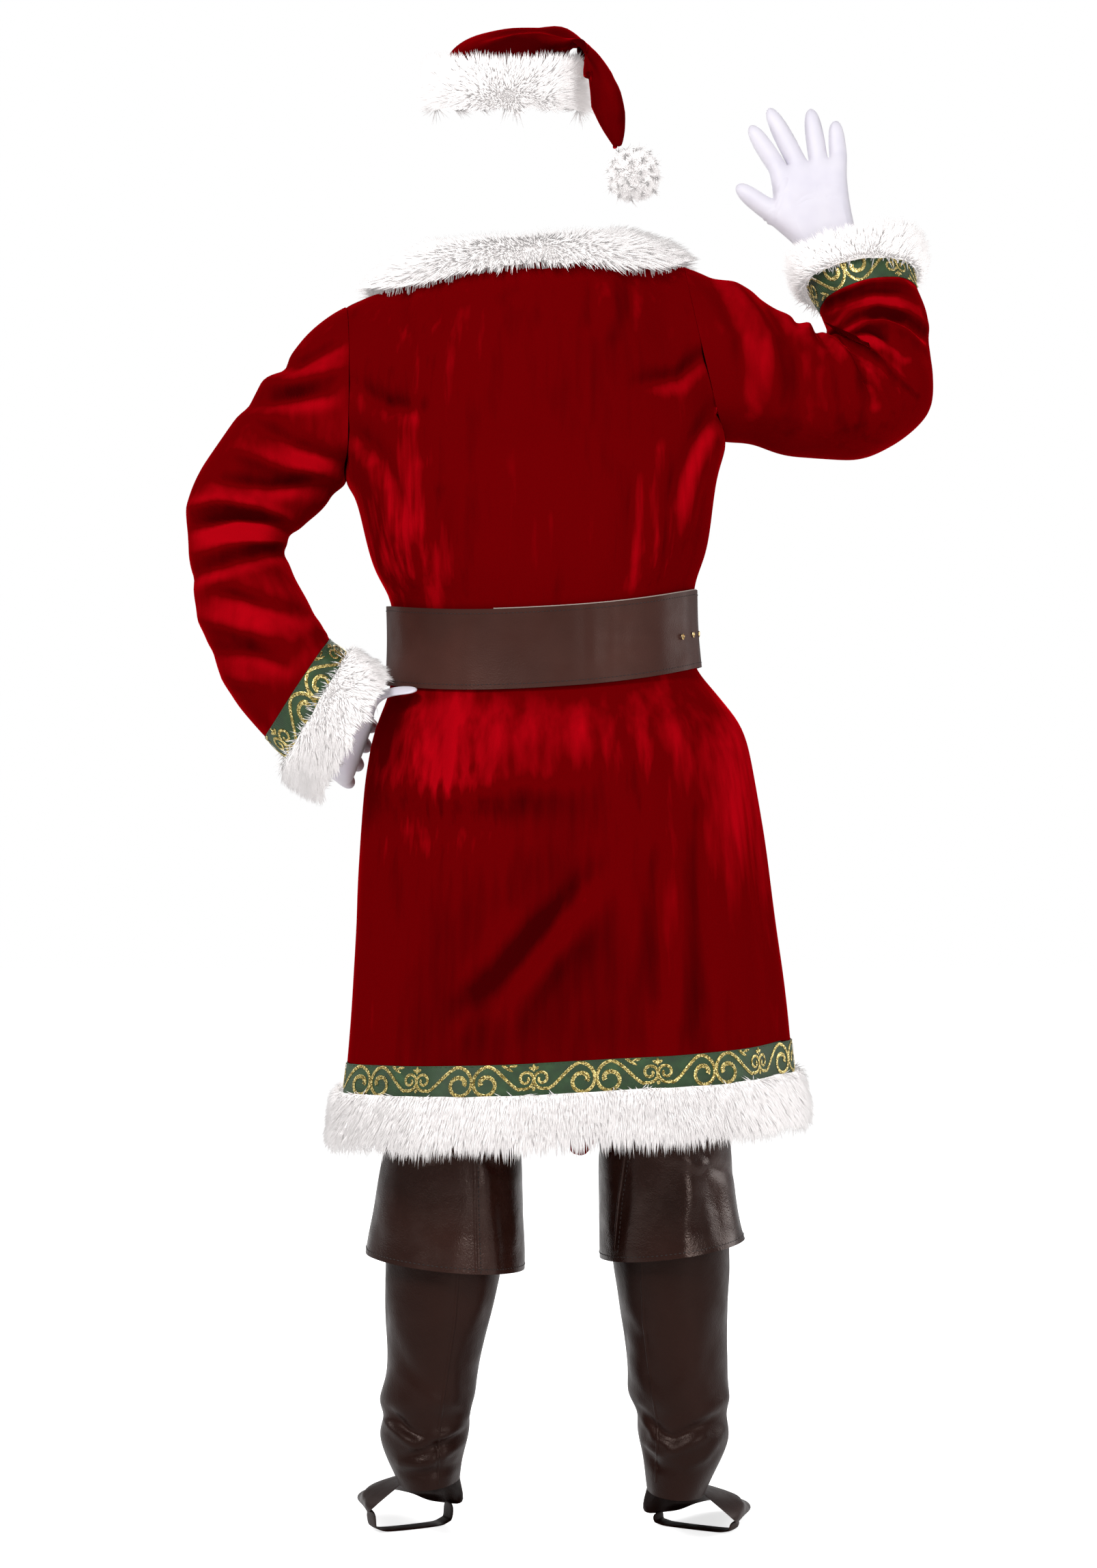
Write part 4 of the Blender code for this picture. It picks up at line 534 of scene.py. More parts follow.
def velvet_material(settings):
    """Velvet with painted light and shade from its folds' tilt, with crushed streaks and mottle."""
    tree, material, shader = new_material(
        "Crushed red velvet", settings.colour, 0.62, Sheen_Weight=0.42, Sheen_Roughness=0.30,
        Sheen_Tint=(1.0, 0.002, 0.008, 1.0), Specular_IOR_Level=0.0)
    broad = grain(tree, 9.0, 3.0, (1.0, 1.0, 0.45))
    streaks = grain(tree, 78.0, 3.0, (1.0, 1.0, 0.11))
    pile = grain(tree, 900.0, 2.0)
    painted_shading, crush = (add_node(tree, "ShaderNodeAttribute", attribute_name=name).outputs["Fac"]
                  for name in ("painted_shading", "crush"))
    streak = maths(tree, "MULTIPLY", maths(tree, "SUBTRACT", streaks, 0.5), crush)
    patchy = maths(tree, "MULTIPLY", maths(tree, "SUBTRACT", broad, 0.5), 0.75)
    # painted light and shade, plus the crushed streaks and the broad mottle
    painted_shading_and_mottle = maths(tree, "ADD", maths(tree, "ADD", painted_shading, streak), patchy)
    colour = ramp(tree, painted_shading_and_mottle, (0.02, settings.shade), (0.42, settings.colour), (0.58, settings.colour),
                  (1.0, settings.light))
    feed(tree, shader.inputs["Base Color"], colour)
    normal = bump(tree, pile, 0.25, 0.0004, bump(tree, streaks, 0.35, 0.002))
    feed(tree, shader.inputs["Normal"], normal)
    return material


def ribbon_material(settings):
    """Woven ribbon, a little worn."""
    tree, material, shader = new_material("Green ribbon", settings.colour, 0.55)
    weave = texture(tree, "ShaderNodeTexWave", wave_type="BANDS", bands_direction="DIAGONAL", Scale=420.0,
                    Distortion=1.2).outputs["Fac"]
    colour = ramp(tree, grain(tree, 60.0, 5.0), (0.30, scaled(settings.colour, 0.62)),
                  (0.55, settings.colour), (0.85, scaled(settings.colour, 1.7, 0.01)))
    feed(tree, shader.inputs["Base Color"],
         multiplied(tree, colour, ramp(tree, weave, (0.0, 0.70), (1.0, 1.0))))
    feed(tree, shader.inputs["Normal"], bump(tree, weave, 0.5, 0.0004))
    return material


def gold_material(settings):
    """Gold glitter, each grain with its own tilt and tone; the lightest tone is partly a painted glint."""
    tree, material, shader = new_material("Gold glitter", settings.gold, 0.38, 0.85)
    cells = texture(tree, "ShaderNodeTexVoronoi", Scale=900.0)
    spark = add_node(tree, "ShaderNodeSeparateColor", Color=cells.outputs["Color"]).outputs
    # grains from darker flecks to pale gold; the palest are a painted glint on top of the glint from their
    # tilt
    feed(tree, shader.inputs["Base Color"],
         ramp(tree, spark["Red"], (0.15, scaled(settings.gold, 0.28)), (0.50, settings.gold),
              (0.92, (0.95, 0.80, 0.36))))
    feed(tree, shader.inputs["Roughness"], ramp(tree, spark["Green"], (0.1, 0.25), (0.9, 0.7)))
    feed(tree, shader.inputs["Normal"], bump(tree, spark["Blue"], 0.9, 0.0008))
    return material


def fur_material(settings):
    """Hair lit as if it lay on its ground, so that a lock has no dark side of its own."""
    # the locks have a painted glow, which lifts their shade
    tree, material, shader = new_material("White fur", settings.colour, 0.75, Sheen_Weight=0.4,
                                          Specular_IOR_Level=0.0, **FUR_PAINTED_GLOW)
    shade = tuple(part * factor for part, factor in zip(settings.colour, (0.90, 0.88, 0.89)))
    tone, lie = (add_node(tree, "ShaderNodeAttribute", attribute_name=name).outputs
                 for name in ("tone", "lie"))
    feed(tree, shader.inputs["Base Color"],
         ramp(tree, tone["Fac"], (0.0, shade), (0.6, settings.colour), (1.0, (0.95, 0.92, 0.91))))
    own = add_node(tree, "ShaderNodeNewGeometry").outputs["Normal"]
    both = vectors(tree, "ADD", lie["Vector"], vectors(tree, "SCALE", own, scale=0.45))
    feed(tree, shader.inputs["Normal"], vectors(tree, "NORMALIZE", both))
    return material


# A painted glow: emission that stands in for the light that fine white hair scatters between its locks,
# lifting their shade.
FUR_PAINTED_GLOW = {"Emission_Color": (1.0, 0.955, 0.945, 1.0), "Emission_Strength": 0.33}


def fur_base_material(settings):
    """The woolly ground between the locks."""
    # the ground has the same painted glow, which lifts its shade
    tree, material, shader = new_material("Fur ground", settings.colour, 0.9, Sheen_Weight=0.3, **FUR_PAINTED_GLOW)
    wool = grain(tree, 160.0, 5.0, (1.0, 1.0, 0.5))
    feed(tree, shader.inputs["Base Color"],
         ramp(tree, wool, (0.32, scaled(settings.colour, 0.95)), (0.62, settings.colour)))
    feed(tree, shader.inputs["Normal"], bump(tree, wool, 0.4, 0.003))
    return material


def leather_material(name, colour, roughness, wrinkle, gloss):
    """Coated cloth with a fine grain, soft wrinkles and uneven gloss."""
    tree, material, shader = new_material(name, colour, roughness, Specular_IOR_Level=gloss,
                                          Specular_Tint=(1.0, 0.78, 0.70, 1.0))
    cells = texture(tree, "ShaderNodeTexVoronoi", feature="SMOOTH_F1", Scale=620.0)
    soft = grain(tree, 34.0, 4.0)
    feed(tree, shader.inputs["Base Color"],
         ramp(tree, grain(tree, 7.0, 3.0), (0.3, scaled(colour, 0.66)), (0.55, colour),
              (0.8, scaled(colour, 1.45))))
    feed(tree, shader.inputs["Roughness"],
         ramp(tree, soft, (0.3, roughness - 0.07), (0.7, roughness + 0.09)))
    normal = bump(tree, soft, wrinkle, 0.004)
    feed(tree, shader.inputs["Normal"], bump(tree, cells.outputs["Distance"], 0.35, 0.0005, normal))
    return material


def glove_material():
    """Fine ribbed knit with a satin sheen."""
    tree, material, shader = new_material("White satin knit", (0.66, 0.63, 0.71), 0.5, Sheen_Weight=0.3)
    ribs = texture(tree, "ShaderNodeTexWave", wave_type="BANDS", bands_direction="X", Scale=520.0)
    folds = grain(tree, 30.0, 2.0)
    # darker where the fold noise is low, where its bump sinks: a painted shade in the folds' hollows
    feed(tree, shader.inputs["Base Color"],
         ramp(tree, folds, (0.3, (0.61, 0.585, 0.665)), (0.7, (0.66, 0.635, 0.70))))
    normal = bump(tree, folds, 0.06, 0.002)
    feed(tree, shader.inputs["Normal"], bump(tree, ribs.outputs["Fac"], 0.25, 0.0002, normal))
    return material


def brass_material():
    """Worn brass of the buckle and the eyelets."""
    tree, material, shader = new_material("Brass", (0.72, 0.52, 0.24), 0.26, 1.0)
    wear = grain(tree, 90.0, 5.0)
    feed(tree, shader.inputs["Base Color"],
         ramp(tree, wear, (0.3, (0.52, 0.35, 0.14)), (0.7, (0.82, 0.62, 0.32))))
    feed(tree, shader.inputs["Roughness"], ramp(tree, wear, (0.3, 0.20), (0.7, 0.38)))
    return material


def dark_thread():
    """The thread of the belt and the boot covers."""
    return material_of("dark thread", thread_material, "Dark thread", (0.012, 0.006, 0.005))


def thread_material(name, colour):
    """Twisted thread."""
    tree, material, shader = new_material(name, colour, 0.6)
    twist = texture(tree, "ShaderNodeTexWave", wave_type="BANDS", bands_direction="DIAGONAL", Scale=900.0)
    feed(tree, shader.inputs["Normal"], bump(tree, twist.outputs["Fac"], 0.4, 0.0002))
    return material


# ---- cloth from the solids -------------------------------------------------------------------
def welded(name):
    """A copy of a solid with its points joined."""
    bm = bmesh.new()
    bm.from_mesh(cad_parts[name].data)
    bmesh.ops.remove_doubles(bm, verts=bm.verts, dist=MERGE)
    bm.faces.ensure_lookup_table()
    bm.normal_update()
    return bm


def to_quads(bm):
    """Joins pairs of triangles."""
    bmesh.ops.join_triangles(bm, faces=bm.faces[:], angle_face_threshold=math.pi,
                             angle_shape_threshold=math.pi)


def skin_patches(bm):
    """The faces with a wall behind them, in patches without a sharp turn, largest first."""
    tree = BVHTree.FromBMesh(bm)
    backed = set()
    for face in bm.faces:
        start = face.calc_center_median() - face.normal * WALL_SEARCH
        if tree.ray_cast(start, -face.normal, WALL_DEPTH)[0] is not None:
            backed.add(face)
    patches, seen = [], set()
    for face in bm.faces:
        if face not in backed or face in seen:
            continue
        patch, waiting = [], [face]
        seen.add(face)
        while waiting:
            current = waiting.pop()
            patch.append(current)
            for other in (face for edge in current.edges for face in edge.link_faces):
                if (other in backed and other not in seen
                        and current.normal.angle(other.normal, 0.0) < WALL_TURN):
                    seen.add(other)
                    waiting.append(other)
        patches.append(patch)
    patches.sort(key=lambda patch: -sum(face.calc_area() for face in patch))
    return patches


def outer_skin(name):
    """The outer side of a wall, as an open mesh of quads."""
    bm = welded(name)
    centre = sum((vert.co for vert in bm.verts), Vector()) / len(bm.verts)
    two = skin_patches(bm)[:2]
    away = [sum(face.normal.dot(face.calc_center_median() - centre) * face.calc_area()
                for face in patch) for patch in two]
    score = dict.fromkeys(bm.verts, 0.0)
    for patch, spread in zip(two, away):
        sign = 1.0 if spread == max(away) else -1.0
        for face in patch:
            for vert in face.verts:
                score[vert] += sign * face.calc_area()
    inside = [face for face in bm.faces if min(score[vert] for vert in face.verts) <= 0.0]
    bmesh.ops.delete(bm, geom=inside, context="FACES")
    to_quads(bm)
    return bm


def mesh_object(name, bm):
    """An object of the scene with this mesh."""
    mesh = bpy.data.meshes.new(name)
    bm.to_mesh(mesh)
    bm.free()
    made = bpy.data.objects.new(name, mesh)
    bpy.context.scene.collection.objects.link(made)
    return made


def surface_of(piece):
    """A search tree of the piece's faces."""
    bm = bmesh.new()
    bm.from_mesh(piece.data)
    tree = BVHTree.FromBMesh(bm)
    bm.free()
    return tree


def give_attribute(piece, name, kind, values):
    """Stores values, one for each point, as an attribute of the piece."""
    made = piece.data.attributes.new(name, kind, "POINT")
    made.data.foreach_set("vector" if kind == "FLOAT_VECTOR" else "value",
                          np.ascontiguousarray(values, dtype=np.float32).ravel())


def applied(piece):
    """The piece with its modifiers' result as its mesh."""
    graph = bpy.context.evaluated_depsgraph_get()
    mesh = bpy.data.meshes.new_from_object(piece.evaluated_get(graph))
    old = piece.data
    piece.modifiers.clear()
    piece.data = mesh
    bpy.data.meshes.remove(old)
    return piece


def subdivided(piece, levels, rounds=FITTING_ROUNDS):
    """The piece smoothed, its own points drawn back onto the smoothed surface round by round."""
    smooth = piece.modifiers.new("Smooth", "SUBSURF")
    smooth.levels = levels
    smooth.render_levels = levels
    wanted = points_of(piece)[0]
    cage = wanted.copy()
    for _ in range(rounds):
        graph = bpy.context.evaluated_depsgraph_get()
        mesh = bpy.data.meshes.new_from_object(piece.evaluated_get(graph))
        reached = np.zeros(len(mesh.vertices) * 3)
        mesh.vertices.foreach_get("co", reached)
        bpy.data.meshes.remove(mesh)
        cage += wanted - reached.reshape(-1, 3)[:len(wanted)]
        move_points(piece, cage)
    return applied(piece)


def points_of(piece):
    """(points, normals) of a piece's mesh."""
    count = len(piece.data.vertices)
    points, normals = np.zeros(count * 3), np.zeros(count * 3)
    piece.data.vertices.foreach_get("co", points)
    piece.data.vertices.foreach_get("normal", normals)
    return points.reshape(-1, 3), normals.reshape(-1, 3)


def move_points(piece, points):
    """Puts the piece's points in new places."""
    piece.data.vertices.foreach_set("co", np.ascontiguousarray(points, dtype=np.float32).ravel())
    piece.data.update()


def line_distance(places, line):
    """How far each (x, z) place is from an array of points, and how far along them, from 0 to 1."""
    best = np.full(len(places), np.inf)
    along = np.zeros(len(places))
    total = len(line) - 1
    for index, (start, end) in enumerate(zip(line[:-1], line[1:])):
        step = end - start
        share = np.clip((places - start) @ step / (step @ step), 0.0, 1.0)
        distance = np.linalg.norm(places - start - share[:, None] * step, axis=1)
        closer = distance < best
        best[closer] = distance[closer]
        along[closer] = (index + share[closer]) / total
    return best, along


def crease_height(points, normals, creases):
    """How far the creases push each point out or in."""
    height = np.zeros(len(points))
    places = points[:, [0, 2]]
    for line, width, depth, side in creases:
        distance, along = line_distance(places, np.array(line) / PER_METRE)
        fade = np.sin(np.pi * np.clip(0.12 + 0.76 * along, 0.0, 1.0)) ** 0.8
        amount = depth / PER_METRE * np.exp(-(distance / (width / PER_METRE)) ** 2) * fade
        if side:
            facing = np.clip(normals[:, 1] * side / 0.35, 0.0, 1.0)
            amount = amount * facing * facing * (3.0 - 2.0 * facing)
        height += amount
    return height


def wave_field(points, waves, seed):
    """Smooth noise between about -1 and 1 at each point, with so many waves per metre along x, y, z."""
    shift = Vector((seed * 7.3, seed * 3.1, seed * 5.7))
    return np.array([noise.noise(Vector(point) + shift) for point in points * np.array(waves)])


def coat_move(points, normals, settings):
    """The coat's points after its folds and unevenness, both pressed flat under the belt."""
    height = settings.folds * crease_height(points, normals, COAT_FOLDS)
    height += settings.ripple * 1.2 * wave_field(points, (16.0, 16.0, 4.5), 1)
    height += settings.ripple * 0.7 * wave_field(points, (34.0, 34.0, 9.0), 2)
    near_belt = np.exp(-((points[:, 2] - BELT_HEIGHT + BELT_SLOPE * points[:, 0]) / 0.050) ** 4)
    height = height * (1.0 - near_belt) - 0.0012 * near_belt
    return points + normals * height[:, None]


def folded(folds, seed, ripple, waves, depth=1.0):
    """A move that gives a surface folds, so many times as deep as in the table, and unevenness."""
    def move(points, normals):
        height = depth * crease_height(points, normals, folds) + ripple * wave_field(points, waves, seed)
        return points + normals * height[:, None]
    return move


def velvet_folds(settings, folds, seed):
    """The move of a sleeve or of the hat."""
    return folded(folds, seed, settings.ripple * 1.1, (20.0, 20.0, 20.0), settings.folds)


def paint_fold_shading(piece, before, patches, crushed):
    """The velvet's attributes: painted light and shade, from how far each point has tilted towards a set
    light, with the patches' painted light and shade added, and crush.
    """
    points, normals = points_of(piece)
    # painted light where the folds tilt the surface towards the set light, painted shade where they tilt it
    # away
    painted_shading = 0.5 + PAINTED_LIGHT_STRENGTH * (normals - before) @ PAINTED_LIGHT_DIRECTION
    crush = np.full(len(points), crushed)
    for x, z, wide, high, light, streaked in patches:
        # each patch adds painted light, or painted shade below zero, and streaks
        share = np.exp(-((points[:, 0] - x) / wide) ** 2 - ((points[:, 2] - z) / high) ** 2)
        painted_shading += light * share
        crush += streaked * share
    give_attribute(piece, "painted_shading", "FLOAT", painted_shading)
    give_attribute(piece, "crush", "FLOAT", crush)


def give_wall(piece, thickness, even=True):
    """The piece as a closed wall of this thickness, built inwards."""
    wall = piece.modifiers.new("Wall", "SOLIDIFY")
    wall.thickness = thickness
    wall.offset = -1.0
    wall.use_even_offset = even
    wall.use_quality_normals = True
    return applied(piece)


def shade(piece, angle=50.0):
    """Smooth shading, but for edges sharper than an angle in degrees."""
    piece.data.shade_smooth()
    piece.data.set_sharp_from_angle(angle=math.radians(angle))
    return piece


def finish(piece, material, slot, *nodes):
    """Material, body and the solids that the piece stands for; slot is not used."""
    piece.data.materials.clear()
    piece.data.materials.append(material)
    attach(piece, "root")
    if nodes:
        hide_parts(*nodes)
    return piece


def rims(piece):
    """The loops of points round a skin's open edges, highest first."""
    bm = bmesh.new()
    bm.from_mesh(piece.data)
    ahead = {}
    for edge in bm.edges:
        if edge.is_boundary:
            for vert in edge.verts:
                ahead.setdefault(vert, []).append(edge.other_vert(vert))
    loops = []
    while ahead:
        vert = next(iter(ahead))
        loop = []
        while vert in ahead:
            loop.append(vert.co.copy())
            onward = [other for other in ahead.pop(vert) if other in ahead]
            if onward:
                vert = onward[0]
        loops.append(loop)
    bm.free()
    return sorted(loops, key=lambda loop: -sum(point.z for point in loop) / len(loop))


def cloth_piece(node_name, label, levels, move, thickness, pile=None, even=True):
    """A thin wall on a solid's outer side, subdivided and moved into its folds."""
    piece = subdivided(mesh_object(label, outer_skin(node_name)), levels)
    points, normals = points_of(piece)
    move_points(piece, move(points, normals))
    # pile: the patches of painted light and shade, and the crush
    if pile is not None:
        paint_fold_shading(piece, normals, *pile)
    RIMS[label] = rims(piece)
    return shade(give_wall(piece, thickness, even))


def whole_piece(node_name, label, levels, move=None, pile=None):
    """A solid's own wall, both sides of it, smoothed and moved."""
    bm = welded(node_name)
    to_quads(bm)
    piece = subdivided(mesh_object(label, bm), levels)
    points, normals = points_of(piece)
    if move is not None:
        move_points(piece, move(points, normals))
    # pile: the patches of painted light and shade, and the crush
    if pile is not None:
        paint_fold_shading(piece, normals, *pile)
    return shade(piece)


# ---- stitches and seams ----------------------------------------------------------------------
def stitch_tree(material):
    """Node tree that lays one stitch after another along the edges of a mesh."""
    tree, entry = new_tree("Stitches", Pitch=0.005, Length=0.0036, Width=0.0008)
    new = partial(add_node, tree)
    path = new("GeometryNodeMeshToCurve", Mesh=entry["Geometry"])
    spots = new("GeometryNodeCurveToPoints", mode="LENGTH", Curve=path.outputs["Curve"],
                Length=entry["Pitch"])
    bead = new("GeometryNodeMeshIcoSphere", Radius=0.5, Subdivisions=1)
    size = new("ShaderNodeCombineXYZ", X=entry["Width"], Y=entry["Width"], Z=entry["Length"])
    laid = new("GeometryNodeInstanceOnPoints", Points=spots.outputs["Points"],
               Instance=bead.outputs["Mesh"], Rotation=spots.outputs["Rotation"],
               Scale=size.outputs["Vector"])
    real = new("GeometryNodeRealizeInstances", Geometry=laid.outputs["Instances"])
    return end_tree(tree, real.outputs["Geometry"], material)


def sewn(label, lines, tree, pitch, length, width):
    """Stitches along lines of points; each line is (points, closed)."""
    bm = bmesh.new()
    for line, closed in lines:
        verts = [bm.verts.new(point) for point in line]
        for first, second in zip(verts[:-1], verts[1:]):
            bm.edges.new((first, second))
        if closed:
            bm.edges.new((verts[-1], verts[0]))
    sizes = {"Pitch": pitch, "Length": length, "Width": width}
    return shade(grown(mesh_object(label, bm), tree, sizes), 180.0)


def beside(piece, loop, shift, lift):
    """A loop moved by shift and laid back on the piece's skin, lifted off it."""
    tree = surface_of(piece)
    nearest = [tree.find_nearest(point + shift)[:2] for point in loop]
    return [spot + normal * lift for spot, normal in nearest]


def down_back(piece, line, step=0.004):
    """Points and normals on the back of a piece, under a line of (x, z)."""
    tree = surface_of(piece)
    behind, onwards = -2.0, Vector((0.0, 1.0, 0.0))
    spots, normals = [], []
    for start, end in zip(line[:-1], line[1:]):
        start, end = Vector((start[0], behind, start[1])), Vector((end[0], behind, end[1]))
        count = max(1, int((end - start).length / step))
        for index in range(count):
            place, normal = tree.ray_cast(start.lerp(end, index / count), onwards)[:2]
            if place is not None:
                spots.append(place)
                normals.append(normal)
    return spots, normals


def close_ridge(bm, rings):
    """The sides and both ends of a ridge between rings of four points."""
    for first, second in zip(rings[:-1], rings[1:]):
        for corner in range(4):
            after = (corner + 1) % 4
            bm.faces.new([first[corner], first[after], second[after], second[corner]])
    bm.faces.new(list(reversed(rings[0])))
    bm.faces.new(rings[-1])


def welt(label, lines, width, height):
    """Low ridges along lines of (points, normals)."""
    bm = bmesh.new()
    root = 0.0003
    for points, normals in lines:
        rings = []
        for index, (point, normal) in enumerate(zip(points, normals)):
            along = (points[min(index + 1, len(points) - 1)] - points[max(index - 1, 0)]).normalized()
            side = normal.cross(along).normalized() * width * 0.5
            section = (point - side, point + normal * height, point + side, point - normal * root)
            rings.append([bm.verts.new(spot) for spot in section])
        close_ridge(bm, rings)
    bmesh.ops.recalc_face_normals(bm, faces=bm.faces[:])
    return shade(mesh_object(label, bm), 70.0)


# ---- strips, such as ribbons -----------------------------------------------------------------
def strip_columns(name, towards):
    """A band's edges across it, in order round it, each from the side nearer to towards."""
    bm = outer_skin(name)
    borders = {edge for edge in bm.edges if edge.is_boundary}
    face = next((f for f in bm.faces if sum(edge in borders for edge in f.edges) == 3),
                min(bm.faces, key=lambda f: f.calc_center_median().y * -1.0))
    rungs = [edge for edge in face.edges if edge not in borders]
    held = {vert for rung in rungs for vert in rung.verts}
    ends = [edge for edge in face.edges if edge in borders and not held & set(edge.verts)]
    columns, seen = [], set()
    edge = ends[0] if ends else rungs[0]
    first = edge
    while face is not None:
        columns.append(edge)
        seen.add(face)
        onward = [other for other in face.edges
                  if other is not edge and not any(vert in edge.verts for vert in other.verts)]
        edge = onward[0]
        following = [other for other in edge.link_faces if other not in seen]
        face = following[0] if following else None
    closed = edge is first
    if not closed:
        columns.append(edge)
    pairs = []
    for rung in columns:
        near, far = sorted(rung.verts, key=lambda vert: (vert.co - towards).length)
        pairs.append((near.co.copy(), far.co.copy()))
    bm.free()
    return pairs, closed


def spline(points, closed, place):
    """Uniform cubic B-spline through a list of vectors, at a place counted in steps."""
    count = len(points)
    index = int(math.floor(place))
    share = place - index
    if closed:
        four = [points[(index + step) % count] for step in (-1, 0, 1, 2)]
    else:
        index = min(index, count - 2)
        share = place - index
        four = []
        for step in (-1, 0, 1, 2):
            spot = index + step
            if spot < 0:
                four.append(points[0] * 2.0 - points[1])
            elif spot > count - 1:
                four.append(points[-1] * 2.0 - points[-2])
            else:
                four.append(points[spot])
    weights = ((1 - share) ** 3 / 6.0,
               (3 * share ** 3 - 6 * share ** 2 + 4) / 6.0,
               (-3 * share ** 3 + 3 * share ** 2 + 3 * share + 1) / 6.0,
               share ** 3 / 6.0)
    return sum((point * weight for point, weight in zip(four, weights)), Vector())


def through(points, closed):
    """Control points whose B-spline passes through the given points."""
    control = list(points)
    last = len(points) - 1
    for _ in range(FITTING_ROUNDS):
        fitted = []
        for index, (own, wanted) in enumerate(zip(control, points)):
            if not closed and index in (0, last):
                fitted.append(own)
                continue
            reached = (control[index - 1] + own * 4.0 + control[(index + 1) % len(points)]) / 6.0
            fitted.append(own + wanted - reached)
        control = fitted
    return control


class Band:
    """A ribbon's surface: round is the distance along it, down the distance from its upper edge."""

    def __init__(self, name, towards, move):
        self.pairs, self.closed = strip_columns(name, towards)
        centre = sum((top for top, bottom in self.pairs), Vector()) / len(self.pairs)
        top, bottom = self.pairs[0]
        following = self.pairs[1][0]
        out = (following - top).cross(bottom - top)
        if out.dot(top - centre) < 0.0:
            self.pairs.reverse()
        self.centre = centre
        self.tops = through([top for top, bottom in self.pairs], self.closed)
        self.bottoms = through([bottom for top, bottom in self.pairs], self.closed)
        self.steps = len(self.pairs) - (0 if self.closed else 1)
        self.move = move
        self.table = self.measure()

    def raw(self, place, share):
        """Point and outward normal before the folds; place counts columns, share goes down."""
        upper, lower = spline(self.tops, self.closed, place), spline(self.bottoms, self.closed, place)
        step = 0.02
        before, after = place - step, place + step
        if not self.closed:
            before, after = max(before, 0.0), min(after, self.steps - 1e-6)
        ahead, behind = spline(self.tops, self.closed, after), spline(self.tops, self.closed, before)
        normal = (ahead - behind).cross(lower - upper).normalized()
        if normal.dot(upper - self.centre) < 0.0:
            normal.negate()
        return upper.lerp(lower, share), normal

    def measure(self):
        """Distance along the upper edge at fine steps."""
        count = self.steps * 16
        places = [self.steps * index / count for index in range(count + 1)]
        if not self.closed:
            places[-1] -= 1e-6
        spots = [self.raw(place, 0.5)[0] for place in places]
        total, table = 0.0, [(0.0, places[0])]
        for before, after, place in zip(spots[:-1], spots[1:], places[1:]):
            total += (after - before).length
            table.append((total, place))
        self.length = total
        self.height = sum((bottom - top).length for top, bottom in self.pairs) / len(self.pairs)
        return table

    def place_at(self, distance):
        """The place, in columns, at a distance along the band."""
        distances = [row[0] for row in self.table]
        places = [row[1] for row in self.table]
        if self.closed:
            distance %= self.length
        return float(np.interp(distance, distances, places))

    def surface(self, spots):
        """Points and normals for (distance along, share down, lift) spots, folds included."""
        raw = [self.raw(self.place_at(distance), share) for distance, share, lift in spots]
        points, normals = (np.array(side) for side in zip(*raw))
        lifts = np.array([lift for distance, share, lift in spots])
        return self.move(points, normals) + normals * lifts[:, None], normals


def ribbon_piece(band, label, thickness, rows=6, step=0.006):
    """The ribbon's own wall, on its band."""
    count = max(24, int(band.length / step))
    spots = []
    for column in range(count + (0 if band.closed else 1)):
        distance = band.length * column / count * (1.0 if band.closed else OPEN_END)
        for row in range(rows + 1):
            spots.append((distance, row / rows, RIBBON_LIFT))
    points, normals = band.surface(spots)
    bm = bmesh.new()
    verts = [bm.verts.new(point) for point in points]
    width = rows + 1
    for column in range(count):
        after = (column + 1) % (count if band.closed else count + 1)
        for row in range(rows):
            face = bm.faces.new([verts[column * width + row], verts[column * width + row + 1],
                                 verts[after * width + row + 1], verts[after * width + row]])
            face.smooth = True
    bm.normal_update()
    bm.faces.ensure_lookup_table()
    if bm.faces[0].normal.dot(Vector(normals[0])) < 0.0:
        bmesh.ops.reverse_faces(bm, faces=bm.faces[:])
    return shade(give_wall(mesh_object(label, bm), thickness))


# ---- scrolls ---------------------------------------------------------------------------------
# All in millimetres from the middle of a pair of large spirals and from the ribbon's upper edge.
LARGE_SPIRAL = (17.0, 23.5)
SMALL_SPIRAL = (62.6, 17.6)
HALF_REPEAT = 71.5
VINE_END = (57.0, 30.2)                                           # where the long S meets the small spiral
VINE_LEAD, VINE_TRAIL = (40.0, 0.5), (30.0, 1.0)                  # the S's directions at its two ends
VINE_STEPS = 14
STROKE_PLACES = (0.0, 0.15, 0.5, 0.75, 1.0)                       # along the vine
STROKE_WIDTHS = (2.9, 2.1, 1.9, 1.6, 1.5)                         # half its width there
PETALS = (                                                        # start, end, half width
    ((71.5, 9.5), (71.5, 0.8), 2.0), ((71.1, 7.0), (65.9, 4.2), 1.7), ((71.9, 7.0), (77.1, 4.2), 1.7),
    ((71.5, 27.0), (71.5, 31.6), 2.1), ((-47.5, 8.4), (-34.6, 1.0), 1.7),
    ((-52.5, 1.6), (-43.0, 3.0), 1.6), ((-40.0, 1.2), (-34.0, 0.8), 0.9),
)
SCROLL_SECTION = ((-1.0, 0.45), (0.0, 1.05), (1.0, 0.45), (0.0, 0.30))    # share across, height


def spiral(centre, first, last, radius, steps):
    """Points round a centre, in turns from the right and downwards, radius a function of 0..1."""
    points = []
    for step in range(steps + 1):
        share = step / steps
        angle = 2.0 * math.pi * (first + (last - first) * share)
        reach = radius(share)
        points.append((centre[0] + reach * math.cos(angle), centre[1] + reach * math.sin(angle)))
    return points


def large_radius(share):
    """Radius of the large spiral, hooked inwards at its start."""
    turn = 1.25 * share
    hook = max(0.0, 1.0 - turn / 0.18)
    return 9.4 + 6.2 * turn ** 3.1 - 3.0 * hook * hook


def small_radius(share):
    """Radius of the small spiral."""
    return 12.6 - 3.9 * math.sin(min(share * 3.4, 1.0) * math.pi / 2) - 6.6 * share ** 1.9


